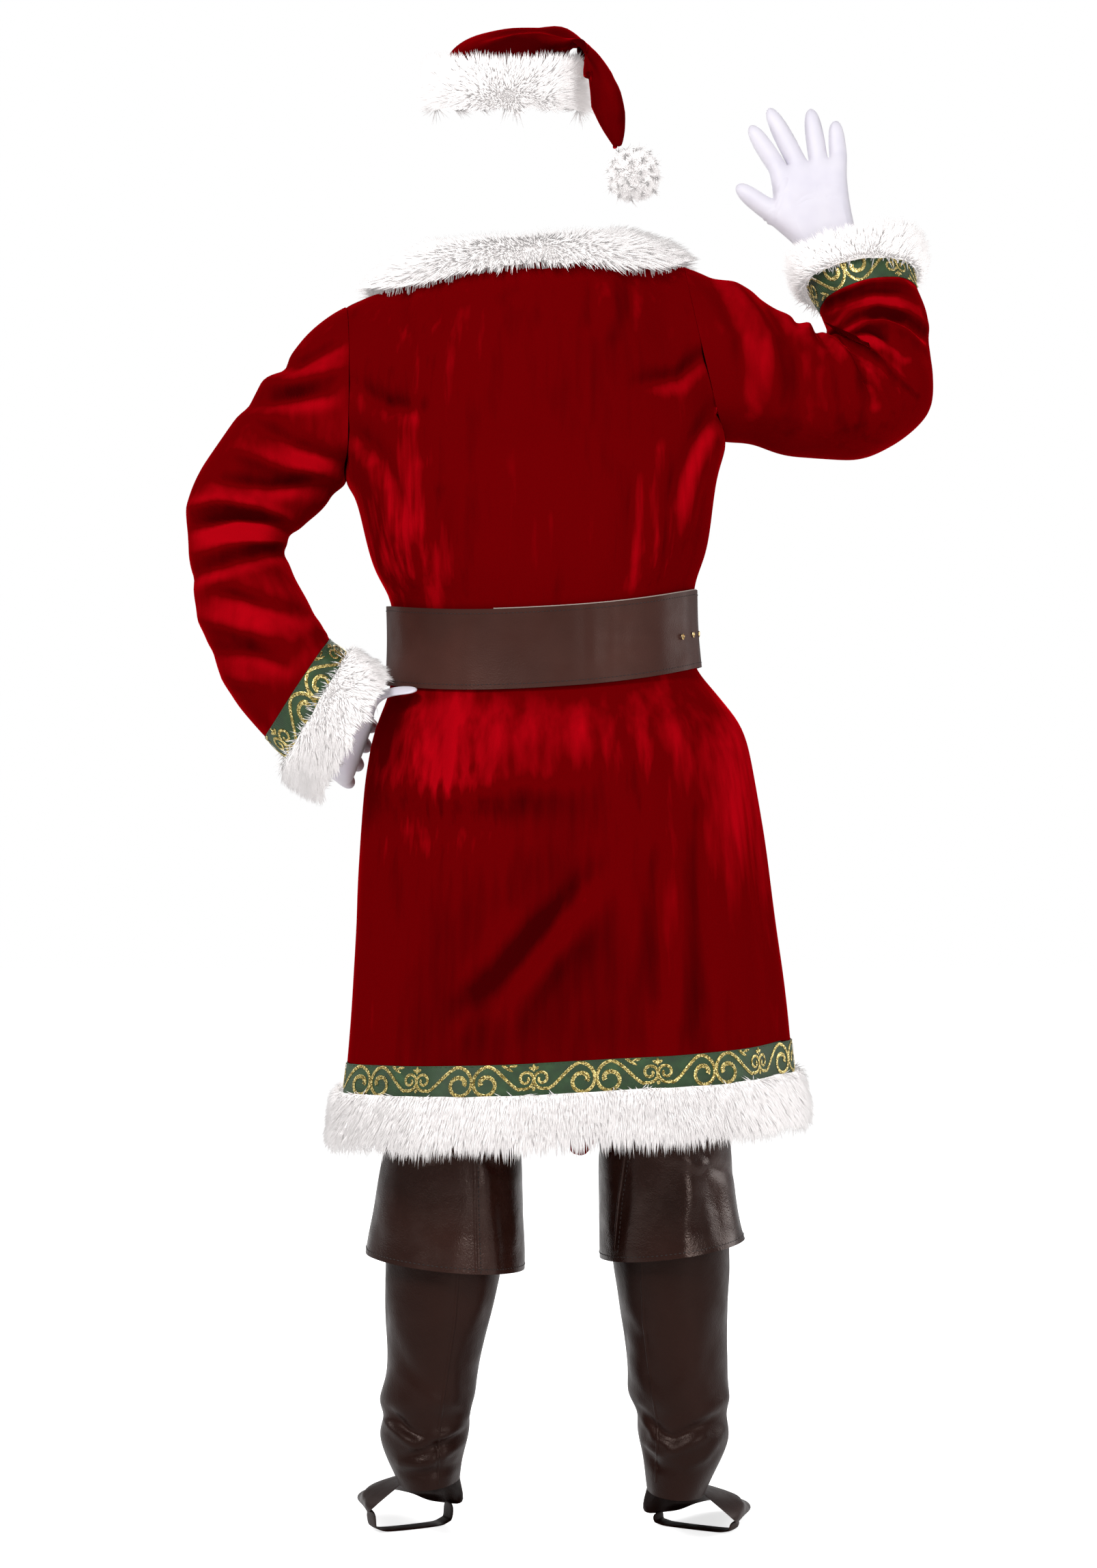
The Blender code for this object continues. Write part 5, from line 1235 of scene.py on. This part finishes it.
def half_scroll():
    """One vine: a large spiral, a long S and a small spiral."""
    points = spiral(LARGE_SPIRAL, 0.5, 1.75, large_radius, 34)
    start = points[-1]
    for step in range(1, VINE_STEPS):
        share = step / VINE_STEPS
        weights = (2 * share ** 3 - 3 * share ** 2 + 1, share ** 3 - 2 * share ** 2 + share,
                   -2 * share ** 3 + 3 * share ** 2, share ** 3 - share ** 2)
        points.append(tuple(sum(weight * part[axis] for weight, part
                                in zip(weights, (start, VINE_LEAD, VINE_END, VINE_TRAIL)))
                            for axis in (0, 1)))
    return points + spiral(SMALL_SPIRAL, 0.32, -1.10, small_radius, 30)


def petal(start, end, width):
    """A short leaf from start to end, widest in the middle."""
    points = [(start[0] + (end[0] - start[0]) * share, start[1] + (end[1] - start[1]) * share)
              for share in (0.0, 0.2, 0.4, 0.6, 0.8, 1.0)]
    return points, [width * math.sin(math.pi * (0.12 + 0.76 * index / 5)) for index in range(6)]


def scroll_strokes():
    """Every stroke of one repeat: (points, half widths)."""
    vine = half_scroll()
    widths = [float(np.interp(index / (len(vine) - 1), STROKE_PLACES, STROKE_WIDTHS))
              for index in range(len(vine))]
    return [(vine, widths), ([(-x, y) for x, y in vine], widths), *(petal(*sizes) for sizes in PETALS)]


def scroll_piece(band, label, repeat, shift):
    """The gold strokes on a ribbon, as low ridges with closed undersides."""
    count = max(1, round(band.length / repeat))
    stretch = band.length / (count * 2.0 * HALF_REPEAT * MM)
    spots, rings = [], []
    for index in range(count):
        middle = (index + shift) * band.length / count
        for points, widths in scroll_strokes():
            ring = []
            for number, (x, y) in enumerate(points):
                before = points[max(number - 1, 0)]
                after = points[min(number + 1, len(points) - 1)]
                run = Vector((after[0] - before[0], after[1] - before[1])).normalized()
                across = Vector((-run.y, run.x)) * widths[number]
                section = []
                for offset, lift in SCROLL_SECTION:
                    section.append(len(spots))
                    distance = middle + (x + across.x * offset) * MM * stretch
                    share = min(max((y + across.y * offset) * MM / band.height, 0.01), 0.99)
                    spots.append((distance, share, lift / PER_METRE + RIBBON_LIFT))
                ring.append(section)
            rings.append(ring)
    if not band.closed:
        inside = [0.0 <= spot[0] <= band.length for spot in spots]
        rings = [ring for ring in rings if all(inside[i] for section in ring for i in section)]
        spots = [(min(max(distance, 0.0), band.length), *rest) for distance, *rest in spots]
    points = band.surface(spots)[0]
    bm = bmesh.new()
    for ring in rings:
        close_ridge(bm, [[bm.verts.new(points[index]) for index in section] for section in ring])
    bmesh.ops.recalc_face_normals(bm, faces=bm.faces[:])
    return shade(mesh_object(label, bm), 60.0)


# ---- fur -------------------------------------------------------------------------------------
def fur_tree(material):
    """Node tree that grows bent, clumped locks on a mesh; the attribute pile thins them."""
    tree, entry = new_tree("Fur", Density=60000.0, Length=0.022, Width=0.0015, Droop=0.35,
                           Clump=0.55, Clump_Scale=70.0, Spread=1.1, Seed=1)
    new, sums, mix = partial(add_node, tree), partial(maths, tree), partial(vectors, tree)

    def attribute(name, kind="FLOAT"):
        return new("GeometryNodeInputNamedAttribute", data_type=kind, Name=name).outputs["Attribute"]

    def store(geometry, name, value, kind="FLOAT"):
        return new("GeometryNodeStoreNamedAttribute", data_type=kind, domain="POINT", Name=name,
                   Geometry=geometry, Value=value).outputs["Geometry"]

    def chance(low, high, seed):
        made = new("FunctionNodeRandomValue", data_type="FLOAT", Seed=seed)
        made.inputs[2].default_value = low
        made.inputs[3].default_value = high
        return made.outputs[1]

    # where each lock stands, where it heads and how long it is
    density = sums("MULTIPLY", entry["Density"], attribute("pile"))
    scatter = new("GeometryNodeDistributePointsOnFaces", distribute_method="RANDOM",
                  Mesh=entry["Geometry"], Density=density, Seed=entry["Seed"]).outputs
    position = new("GeometryNodeInputPosition").outputs["Position"]
    unruly = new("ShaderNodeTexNoise", Scale=48.0, Detail=2.0, Vector=position)
    stray = mix("SUBTRACT", unruly.outputs["Color"], (0.5, 0.5, 0.5))
    combed = mix("ADD", scatter["Normal"], attribute("comb", "FLOAT_VECTOR"))
    heading = mix("NORMALIZE", mix("ADD", combed, mix("SCALE", stray, scale=entry["Spread"])))
    cells = new("ShaderNodeTexVoronoi", feature="F1", Scale=entry["Clump Scale"], Vector=position)
    points = scatter["Points"]
    for name, value in (("root", position), ("heading", heading), ("lie", scatter["Normal"]),
                        ("cell", cells.outputs["Position"])):
        points = store(points, name, value, "FLOAT_VECTOR")
    points = store(points, "tone", chance(0.0, 1.0, 11))
    reach = sums("MULTIPLY", sums("MULTIPLY", chance(0.65, 1.15, 5), attribute("long")), entry["Length"])
    points = store(points, "reach", reach)

    # a straight lock on each place
    lock = new("GeometryNodeMeshCone", fill_type="NGON", Vertices=3, Side_Segments=1, Radius_Top=0.0,
               Radius_Bottom=0.5, Depth=1.0)
    height = new("ShaderNodeSeparateXYZ", Vector=position)
    strand = store(lock.outputs["Mesh"], "along", height.outputs["Z"])
    turn = new("FunctionNodeAlignRotationToVector", axis="Z", Vector=attribute("heading", "FLOAT_VECTOR"))
    size = new("ShaderNodeCombineXYZ", X=entry["Width"], Y=entry["Width"], Z=attribute("reach"))
    planted = new("GeometryNodeInstanceOnPoints", Points=points, Instance=strand,
                  Rotation=turn.outputs["Rotation"], Scale=size.outputs["Vector"])
    real = new("GeometryNodeRealizeInstances", Geometry=planted.outputs["Instances"])

    # bent down by its weight and towards the middle of its clump
    along = attribute("along")
    fallen = sums("MULTIPLY", sums("MULTIPLY", sums("POWER", along, 2.0), entry["Droop"]),
                  attribute("reach"))
    toward = mix("SUBTRACT", attribute("cell", "FLOAT_VECTOR"), attribute("root", "FLOAT_VECTOR"))
    gather = mix("SCALE", toward, scale=sums("MULTIPLY", along, entry["Clump"]))
    bent = new("GeometryNodeSetPosition", Geometry=real.outputs["Geometry"],
               Offset=mix("ADD", mix("SCALE", DOWN, scale=fallen), gather))
    return end_tree(tree, bent.outputs["Geometry"], material)


def grow_fur(base, label, tree, values):
    """The locks that the tree grows on a base, as a mesh of their own."""
    locks = bpy.data.objects.new(label, base.data.copy())
    bpy.context.scene.collection.objects.link(locks)
    grown(locks, tree, values)
    for name in ("root", "heading", "cell", "reach", "along", "pile", "long", "comb"):
        found = locks.data.attributes.get(name)
        if found is not None:
            locks.data.attributes.remove(found)
    locks.data.shade_smooth()
    return locks


def fur_base(node_name, label, options):
    """The ground of a fur piece: its solid, uneven, and drawn in by the pile but not from its seam."""
    bm = welded(node_name)
    to_quads(bm)
    piece = subdivided(mesh_object(label, bm), options["levels"], 0)
    points, normals = points_of(piece)
    uneven = wave_field(points, (42.0, 42.0, 42.0), options["seed"])
    moved = normals * (options["tuft"] * uneven - options["shrink"])[:, None]
    if options["seam"] is not None:
        seam = np.array(options["seam"]) / np.linalg.norm(options["seam"])
        up = np.clip(normals @ seam, 0.0, 1.0)
        moved += seam * (up * (options["shrink"] + options["lap"]))[:, None]
    moved[:, 2] += options["rise"] * np.clip(-normals[:, 2], 0.0, 1.0)
    move_points(piece, points + moved)
    return shade(piece, 80.0)


def dress_fur(node_name, label, settings, looks, budget, options):
    """A fur piece: its ground and as many locks as the budget of triangles allows."""
    tree, fur, ground = looks
    base = fur_base(node_name, label + "_ground", options)
    fields = dict(zip(("pile", "long", "comb"), options["fields"](*points_of(base))))
    for name, values in fields.items():
        give_attribute(base, name, "FLOAT_VECTOR" if name == "comb" else "FLOAT", values)
    base.data.calc_loop_triangles()
    weighted = 0.0
    for triangle in base.data.loop_triangles:
        weighted += triangle.area * sum(fields["pile"][index] for index in triangle.vertices) / 3.0
    values = {"Density": budget / LOCK_TRIANGLES / weighted, "Length": settings.length * options["length"],
              "Width": settings.width, "Droop": options["droop"], "Clump": options["clump"],
              "Clump Scale": options["scale"], "Spread": options["spread"], "Seed": options["seed"]}
    locks = grow_fur(base, label + "_locks", tree, values)
    for name in fields:
        base.data.attributes.remove(base.data.attributes[name])
    finish(base, ground, "fur", node_name)
    finish(locks, fur, "fur")
    return base, locks


def level_directions(points, centre):
    """The level direction of each point out from an upright axis."""
    out = points - np.array(centre)
    out[:, 2] = 0.0
    return out / np.maximum(np.linalg.norm(out, axis=1), 1e-6)[:, None]


def band_fields(centre, inner_share, comb):
    """Fields for a strip round a centre: sparse on its inner side, combed one way."""
    def fields(points, normals):
        facing = np.sum(level_directions(points, centre) * normals, axis=1)
        pile = np.where(facing > -0.35, 1.0, inner_share) * np.where(normals[:, 2] > 0.6, 0.3, 1.0)
        long = 0.85 + 0.3 * np.clip(-normals[:, 2], 0.0, 1.0)
        return pile, long, np.tile(np.array(comb), (len(points), 1))
    return fields


def ball_fields(points, normals):
    """Fields for a ball of even fur."""
    return np.ones(len(points)), np.ones(len(points)), np.zeros((len(points), 3))


def collar_fields(points, normals):
    """Fields for the collar: combed outwards and down, sparse below."""
    comb = level_directions(points, COLLAR_CENTRE) * 0.7 + np.array((0.0, 0.0, -0.25))
    return np.where(normals[:, 2] > -0.3, 1.0, 0.25), np.ones(len(points)), comb


def brim_fields(points, normals):
    """Fields for the hat's brim: combed down at its foot and up at its top."""
    pile, long, comb = band_fields(BRIM_CENTRE, 0.2, (0.0, 0.0, 0.0))(points, normals)
    pile = np.maximum(pile, 0.2 + 0.8 * (normals[:, 2] > 0.6))
    low, high = points[:, 2].min(), points[:, 2].max()
    comb[:, 2] = 1.25 * (points[:, 2] - low) / (high - low) - 0.15
    return pile, long, comb


def cuff_fields(comb):
    """Fields for a cuff: sparse inside, nearly bare where it is sewn on, combed away from there."""
    def fields(points, normals):
        out = points - points.mean(axis=0)
        pile = np.where(np.sum(out * normals, axis=1) > -0.01, 1.0, 0.3)
        pile[normals @ comb < -0.5 * np.linalg.norm(comb)] = 0.05
        return pile, np.ones(len(points)), np.tile(comb, (len(points), 1))
    return fields


LEFT_WRIST = np.array((0.84, -0.10, -0.55))     # the ways the cuffs open
RIGHT_WRIST = np.array((-0.20, 0.08, 1.0))
COLLAR_CENTRE, BRIM_CENTRE = (-0.006, 0.0, 0.0), (-0.03, 0.0, 0.0)
PLAIN_FUR = {"seam": (0.0, 0.0, 1.0), "lap": FUR_LAP, "rise": 0.0, "levels": 1, "shrink": 0.006,
             "tuft": 0.0022, "length": 1.0, "droop": 0.35, "clump": 0.28, "scale": 95.0, "spread": 1.0}
# Each fur: solid, label, triangles of its locks, fields, seed, what differs from plain fur.
FURS = (
    ("hem_fur", "Hem_fur", 150000, band_fields((CENTRE_X, 0.0, 0.0), 0.25, (0.0, 0.0, -0.9)), 21,
     {"length": 0.70, "lap": 0.009, "rise": 0.018}),
    ("cuff_fur_left", "Cuff_fur_left", 64000, cuff_fields(LEFT_WRIST * 0.5), 22,
     {"length": 0.68, "seam": -LEFT_WRIST}),
    ("cuff_fur_right", "Cuff_fur_right", 64000, cuff_fields(RIGHT_WRIST * 0.5), 23,
     {"length": 0.68, "droop": 0.1, "seam": -RIGHT_WRIST}),
    ("collar_fur", "Collar_fur", 92000, collar_fields, 24, {"seam": None}),
    ("hat_brim_fur", "Hat_brim_fur", 84000, brim_fields, 25,
     {"droop": 0.05, "clump": 0.2, "length": 0.85, "seam": None}),
    ("hat_pompom", "Pompom", 38000, ball_fields, 26,
     {"seam": None, "shrink": 0.004, "tuft": 0.001, "length": 0.45, "droop": 0.1, "clump": 0.0,
      "spread": 0.6}),
)


# ---- operators -------------------------------------------------------------------------------
# ---- the steps -------------------------------------------------------------------------------
# Each lamp: name, place, size, power.
LAMPS = (("Key", (-1.6, -3.1, 1.9), 1.1, 132.0), ("Fill", (2.4, -3.2, 0.2), 1.6, 60.0),
         ("Left edge", (-2.4, 0.9, 0.2), 1.2, 22.0), ("Right edge", (2.7, 0.8, -0.3), 1.4, 22.0),
         ("Front", (0.3, 3.2, 1.2), 2.0, 60.0))


class SUIT_OT_stage(bpy.types.Operator):
    """Floor, studio lights and camera"""
    bl_idname = "santa_suit.stage"
    bl_label = "Stage"

    def execute(self, context):
        scene = context.scene
        settings = scene.santa_stage
        scene.view_settings.view_transform = "Standard"
        bm = bmesh.new()
        bmesh.ops.create_grid(bm, x_segments=1, y_segments=1, size=12.0)
        bmesh.ops.translate(bm, vec=(0.0, 0.0, settings.floor), verts=bm.verts)
        floor = mesh_object("Floor", bm)
        tree, material, shader = new_material("Pale floor", (0.85, 0.85, 0.85), 0.9,
                                              Emission_Color=(1.0, 1.0, 1.0, 1.0))
        self.glow(tree, shader.inputs["Emission Strength"], 0.12, 0.72)
        floor.data.materials.append(material)
        world = bpy.data.worlds.new("Studio")
        scene.world = world
        world.use_nodes = True
        background = world.node_tree.nodes["Background"]
        background.inputs["Color"].default_value = (1.0, 1.0, 1.0, 1.0)
        self.glow(world.node_tree, background.inputs["Strength"], settings.ambient, 1.0)
        aim = Vector((CENTRE_X, 0.0, -0.55))
        for name, place, size, power in LAMPS:
            data = bpy.data.lights.new(name, "AREA")
            data.size = size
            data.energy = power
            lamp = bpy.data.objects.new(name, data)
            lamp.location = place
            lamp.rotation_euler = (aim - Vector(place)).to_track_quat("-Z", "Y").to_euler()
            scene.collection.objects.link(lamp)
        data = bpy.data.cameras.new("Camera")
        data.sensor_fit = "VERTICAL"
        data.sensor_height = 36.0
        data.lens = data.sensor_height * settings.distance / settings.view
        camera = bpy.data.objects.new("Camera", data)
        camera.location = (0.0195, -settings.distance, settings.height)
        camera.rotation_euler = (math.radians(90.0), 0.0, 0.0)
        scene.collection.objects.link(camera)
        scene.camera = camera
        return {"FINISHED"}

    @staticmethod
    def glow(tree, socket, low, high):
        """A strength that is low where light falls on the suit, and high where the camera looks."""
        path = add_node(tree, "ShaderNodeLightPath")
        level = add_node(tree, "ShaderNodeMapRange", To_Min=low, To_Max=high,
                         Value=path.outputs["Is Camera Ray"])
        feed(tree, socket, level.outputs["Result"])


class SUIT_OT_coat(bpy.types.Operator):
    """Velvet panels of the coat and its sleeves"""
    bl_idname = "santa_suit.coat"
    bl_label = "Coat"

    def execute(self, context):
        settings = context.scene.santa_velvet
        velvet = material_of("velvet", velvet_material, settings)
        coat = partial(coat_move, settings=settings)
        for name, label, levels, flat, area in (
                ("coat_back", "Coat_back", 3, (0.66, 1.00), 0.610),
                ("coat_front_left", "Coat_front_left", 2, (0.44, 0.97), 0.352),
                ("coat_front_right", "Coat_front_right", 2, (0.44, 0.97), 0.352)):
            piece = finish(cloth_piece(name, label, levels, coat, settings.thickness, (COAT_PAINTED_LIGHT_AND_STREAKS, 0.38)),
                           velvet, "velvet", name)
        for side, painted_light_and_streaks, flat, area in (("left", LEFT_SLEEVE_PAINTED_LIGHT, (0.48, 0.50), 0.192),
                                          ("right", RIGHT_SLEEVE_PAINTED_LIGHT_AND_STREAKS, (0.48, 0.42), 0.162)):
            piece = cloth_piece("sleeve_" + side, "Sleeve_" + side, 3,
                                velvet_folds(settings, *SLEEVES[side]), settings.thickness, (painted_light_and_streaks, 0.30))
            finish(piece, velvet, "velvet", "sleeve_" + side)
        return {"FINISHED"}


class SUIT_OT_trousers(bpy.types.Operator):
    """Velvet trousers under the coat"""
    bl_idname = "santa_suit.trousers"
    bl_label = "Trousers"

    def execute(self, context):
        settings = context.scene.santa_velvet
        velvet = material_of("velvet", velvet_material, settings)

        bend = folded(TROUSER_FOLDS, 6, settings.ripple, (14.0, 14.0, 8.0))

        def crumple(points, normals):
            axis = np.where(points[:, 0] < LEGS_PART, *LEGS_X)
            out = np.stack([points[:, 0] - axis, points[:, 1], np.zeros(len(points))], axis=1)
            return bend(points, out / np.maximum(np.linalg.norm(out, axis=1), 0.02)[:, None])

        for name, label, levels, flat, area, above in (
                ("trousers_left", "Trousers_left", 2, (0.62, 0.95), 0.460, "trousers_waistband"),
                ("trousers_right", "Trousers_right", 2, (0.62, 0.95), 0.484, "trousers_waistband"),
                ("trousers_waistband", "Trousers_waistband", 2, (1.04, 0.036), None, "coat_back")):
            piece = finish(whole_piece(name, label, levels, crumple, ((), 0.3)), velvet, "velvet", name)
        return {"FINISHED"}


class SUIT_OT_hat(bpy.types.Operator):
    """Velvet crown of the hat"""
    bl_idname = "santa_suit.hat"
    bl_label = "Hat"

    def execute(self, context):
        settings = context.scene.santa_velvet
        velvet = material_of("velvet", velvet_material, settings)

        bend = velvet_folds(settings, HAT_FOLDS, 5)

        def tuck(points, normals):
            """The folds, and the rim drawn up under the brim."""
            moved = bend(points, normals)
            rim = points[:, 0] < 0.07
            low = points[rim, 2].min()
            tucked = np.clip(1.0 - (points[:, 2] - low) / 0.050, 0.0, 1.0)
            moved[:, 2] += 0.040 * tucked * rim
            return moved

        piece = cloth_piece("hat_crown", "Hat_crown", 2, tuck, settings.thickness, (HAT_PAINTED_SHADE, 0.3),
                            even=False)
        finish(piece, velvet, "velvet", "hat_crown")
        return {"FINISHED"}


class SUIT_OT_ribbons(bpy.types.Operator):
    """Green ribbons on the hem and the cuffs, with gold scrolls"""
    bl_idname = "santa_suit.ribbons"
    bl_label = "Ribbons"

    def execute(self, context):
        settings = context.scene.santa_ribbon
        velvet = context.scene.santa_velvet
        green = material_of("ribbon", ribbon_material, settings)
        gold = material_of("gold", gold_material, settings)
        thread = material_of("green thread", thread_material, "Green thread", (0.020, 0.050, 0.016))
        tree = stitch_tree(thread)
        for name, label, shift, towards, move in (
                ("hem_band", "Hem_ribbon", 0.0, (CENTRE_X, 0.0, 9.0), partial(coat_move, settings=velvet)),
                ("cuff_band_left", "Cuff_ribbon_left", 0.2, (-0.40, 0.0, -0.25),
                 velvet_folds(velvet, *SLEEVES["left"])),
                ("cuff_band_right", "Cuff_ribbon_right", 0.4, (0.42, 0.0, -0.25),
                 velvet_folds(velvet, *SLEEVES["right"]))):
            band = Band(name, Vector(towards), move)
            piece = finish(ribbon_piece(band, label, settings.thickness), green, "ribbon", name)
            scrolls = finish(scroll_piece(band, label + "_scrolls", settings.repeat, shift), gold, "ribbon")
            edges = [self.edge(band, share) for share in (0.035, 0.965)]
            stitches = sewn(label + "_stitches", edges, tree, 0.0064, 0.0042, 0.0009)
            finish(stitches, thread, "ribbon")
        return {"FINISHED"}

    @staticmethod
    def edge(band, share):
        """A line of points along a ribbon, at a share of its height."""
        count = int(band.length / 0.008)
        end = 1.0 if band.closed else OPEN_END
        points = band.surface([(band.length * index / count * end, share, 0.0006)
                               for index in range(count + (0 if band.closed else 1))])[0]
        return [Vector(point) for point in points], band.closed


class SUIT_OT_fur(bpy.types.Operator):
    """Fur of the hem, cuffs, collar, hat brim and pompom"""
    bl_idname = "santa_suit.fur"
    bl_label = "Fur"

    def execute(self, context):
        settings = context.scene.santa_fur
        fur = material_of("fur", fur_material, settings)
        looks = (material_of("fur tree", fur_tree, fur), fur,
                 material_of("fur ground", fur_base_material, settings))
        for name, label, budget, fields, seed, changes in FURS:
            options = {**PLAIN_FUR, **changes, "fields": fields, "seed": seed}
            base, locks = dress_fur(name, label, settings, looks, budget, options)
        return {"FINISHED"}


class SUIT_OT_belt(bpy.types.Operator):
    """Belt with its eyelets and buckle"""
    bl_idname = "santa_suit.belt"
    bl_label = "Belt"

    def execute(self, context):
        settings = context.scene.santa_leather
        leather = material_of("belt", leather_material, "Brown belt faux leather", settings.belt,
                              0.46, 0.12, 0.17)
        brass = material_of("brass", brass_material)
        piece = cloth_piece("belt_strap", "Belt", 3, folded(BELT_FOLDS, 8, 0.0009, (40.0, 40.0, 6.0)), 0.0026)
        finish(piece, leather, "belt_leather", "belt_strap")
        top, bottom = RIMS["Belt"][:2]
        inset = Vector((0.0, 0.0, 0.0055))
        lines = [(beside(piece, top, -inset, 0.0002), True), (beside(piece, bottom, inset, 0.0002), True)]
        thread = dark_thread()
        tree = material_of("dark thread stitches", stitch_tree, thread)
        stitches = sewn("Belt_stitches", lines, tree, 0.0050, 0.0038, 0.0009)
        finish(stitches, thread, "belt_leather")
        pale = material_of("pale backing", thread_material, "Pale belt backing", (0.30, 0.25, 0.22))
        backing = finish(welt("Belt_backing", [self.edge(top)], 0.0016, 0.0011), pale, "belt_leather")
        for name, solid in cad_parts.items():
            if name.startswith(("belt_eyelet", "belt_buckle", "belt_prong")):
                for place in range(len(solid.data.materials)):
                    solid.data.materials[place] = brass
                if not solid.data.materials:
                    solid.data.materials.append(brass)
        return {"FINISHED"}

    @staticmethod
    def edge(loop):
        """The stretch of the strap's upper edge where its backing shows."""
        stretch = sorted((point for point in loop if point.x > -0.05 and point.y < 0.0),
                         key=lambda point: point.x)
        inwards = [Vector((CENTRE_X - point.x, -point.y, 0.0)).normalized() * 0.0012 for point in stretch]
        return ([point + inward for point, inward in zip(stretch, inwards)],
                [UP] * len(stretch))


class SUIT_OT_boots(bpy.types.Operator):
    """Boot covers of faux leather"""
    bl_idname = "santa_suit.boots"
    bl_label = "Boot covers"

    def execute(self, context):
        settings = context.scene.santa_leather
        leather = material_of("boots", leather_material, "Brown boot faux leather", settings.boots,
                              0.25, 0.30, 0.34)
        plain = material_of("shafts", leather_material, "Brown shaft faux leather",
                            tuple(part * 0.72 for part in settings.boots), 0.38, 0.26, 0.15)
        thread = dark_thread()
        tree = material_of("dark thread stitches", stitch_tree, thread)
        for side, seed in (("left", 9), ("right", 10)):
            shaft, cuff = (
                cloth_piece(f"boot_{part}_{side}", f"Boot_{part}_{side}", 3,
                            folded(folds[side], number, 0.0012, (30.0, 30.0, 22.0)), settings.thickness)
                for part, folds, number in (("shaft", BOOT_FOLDS, seed), ("cuff", CUFF_FOLDS, seed + 4)))
            for piece, node_name, flat, area, above, look in (
                    (shaft, "boot_shaft_", (0.43, 0.44), None, "Trousers_", plain),
                    (cuff, "boot_cuff_", (0.55, 0.18), 0.093, "Boot_shaft_", leather)):
                finish(piece, look, "boot_leather", node_name + side)
                seam = SEAMS[piece.name]
                ridge = welt(piece.name + "_seam", [down_back(piece, seam)], 0.0044, 0.0013)
                trims = [finish(ridge, look, "boot_leather")]
                if piece is cuff:
                    hem = beside(piece, RIMS[piece.name][1], Vector((0.0, 0.0, 0.0060)), 0.0002)
                    spots, normals = down_back(piece, [(x + 0.0050, z) for x, z in seam])
                    row = [spot + normal * 0.0002 for spot, normal in zip(spots, normals)]
                    stitches = sewn(piece.name + "_stitches", [(hem, True), (row, False)], tree,
                                    0.0056, 0.0040, 0.0012)
                    trims.append(finish(stitches, thread, "boot_leather"))
            for part in ("instep", "strap"):
                piece = whole_piece(f"boot_{part}_{side}", f"Boot_{part}_{side}", 2)
                finish(piece, plain, "boot_leather", f"boot_{part}_{side}")
                flat, area = ((0.17, 0.13), 0.017) if part == "instep" else ((0.12, 0.024), None)
        return {"FINISHED"}


class SUIT_OT_gloves(bpy.types.Operator):
    """White gloves"""
    bl_idname = "santa_suit.gloves"
    bl_label = "Gloves"

    def execute(self, context):
        satin = material_of("glove", glove_material)
        wrinkle = folded(GLOVE_FOLDS, 14, 0.0002, (60.0, 60.0, 60.0))
        for side in ("left", "right"):
            piece = finish(whole_piece("glove_" + side, "Glove_" + side, 2, wrinkle), satin, "knit",
                           "glove_" + side)
        return {"FINISHED"}


OPERATORS = (SUIT_OT_stage, SUIT_OT_coat, SUIT_OT_trousers, SUIT_OT_hat, SUIT_OT_ribbons, SUIT_OT_fur,
             SUIT_OT_belt, SUIT_OT_boots, SUIT_OT_gloves)
GROUPS = (("santa_velvet", VelvetSettings), ("santa_ribbon", RibbonSettings), ("santa_fur", FurSettings),
          ("santa_leather", LeatherSettings), ("santa_stage", StageSettings))


class SUIT_PT_panel(bpy.types.Panel):
    """Sizes, colours and steps of the suit"""
    bl_idname = "SUIT_PT_panel"
    bl_label = "Santa Suit"
    bl_space_type = "VIEW_3D"
    bl_region_type = "UI"
    bl_category = "Santa Suit"

    def draw(self, context):
        layout = self.layout
        for name, group in GROUPS:
            box = layout.box()
            settings = getattr(context.scene, name)
            for key in group.__annotations__:
                box.prop(settings, key)
        for operator in OPERATORS:
            layout.operator(operator.bl_idname)


def register():
    """Adds the settings, the steps and the panel to Blender."""
    for name, group in GROUPS:
        bpy.utils.register_class(group)
        setattr(bpy.types.Scene, name, bpy.props.PointerProperty(type=group))
    for item in (*OPERATORS, SUIT_PT_panel):
        bpy.utils.register_class(item)


def unregister():
    """Takes them away again."""
    for item in (SUIT_PT_panel, *reversed(OPERATORS)):
        bpy.utils.unregister_class(item)
    for name, group in reversed(GROUPS):
        delattr(bpy.types.Scene, name)
        bpy.utils.unregister_class(group)


def main():
    """Runs every step."""
    register()
    for operator in OPERATORS:
        group, name = operator.bl_idname.split(".")
        getattr(getattr(bpy.ops, group), name)()


if __name__ == "__main__":
    main()
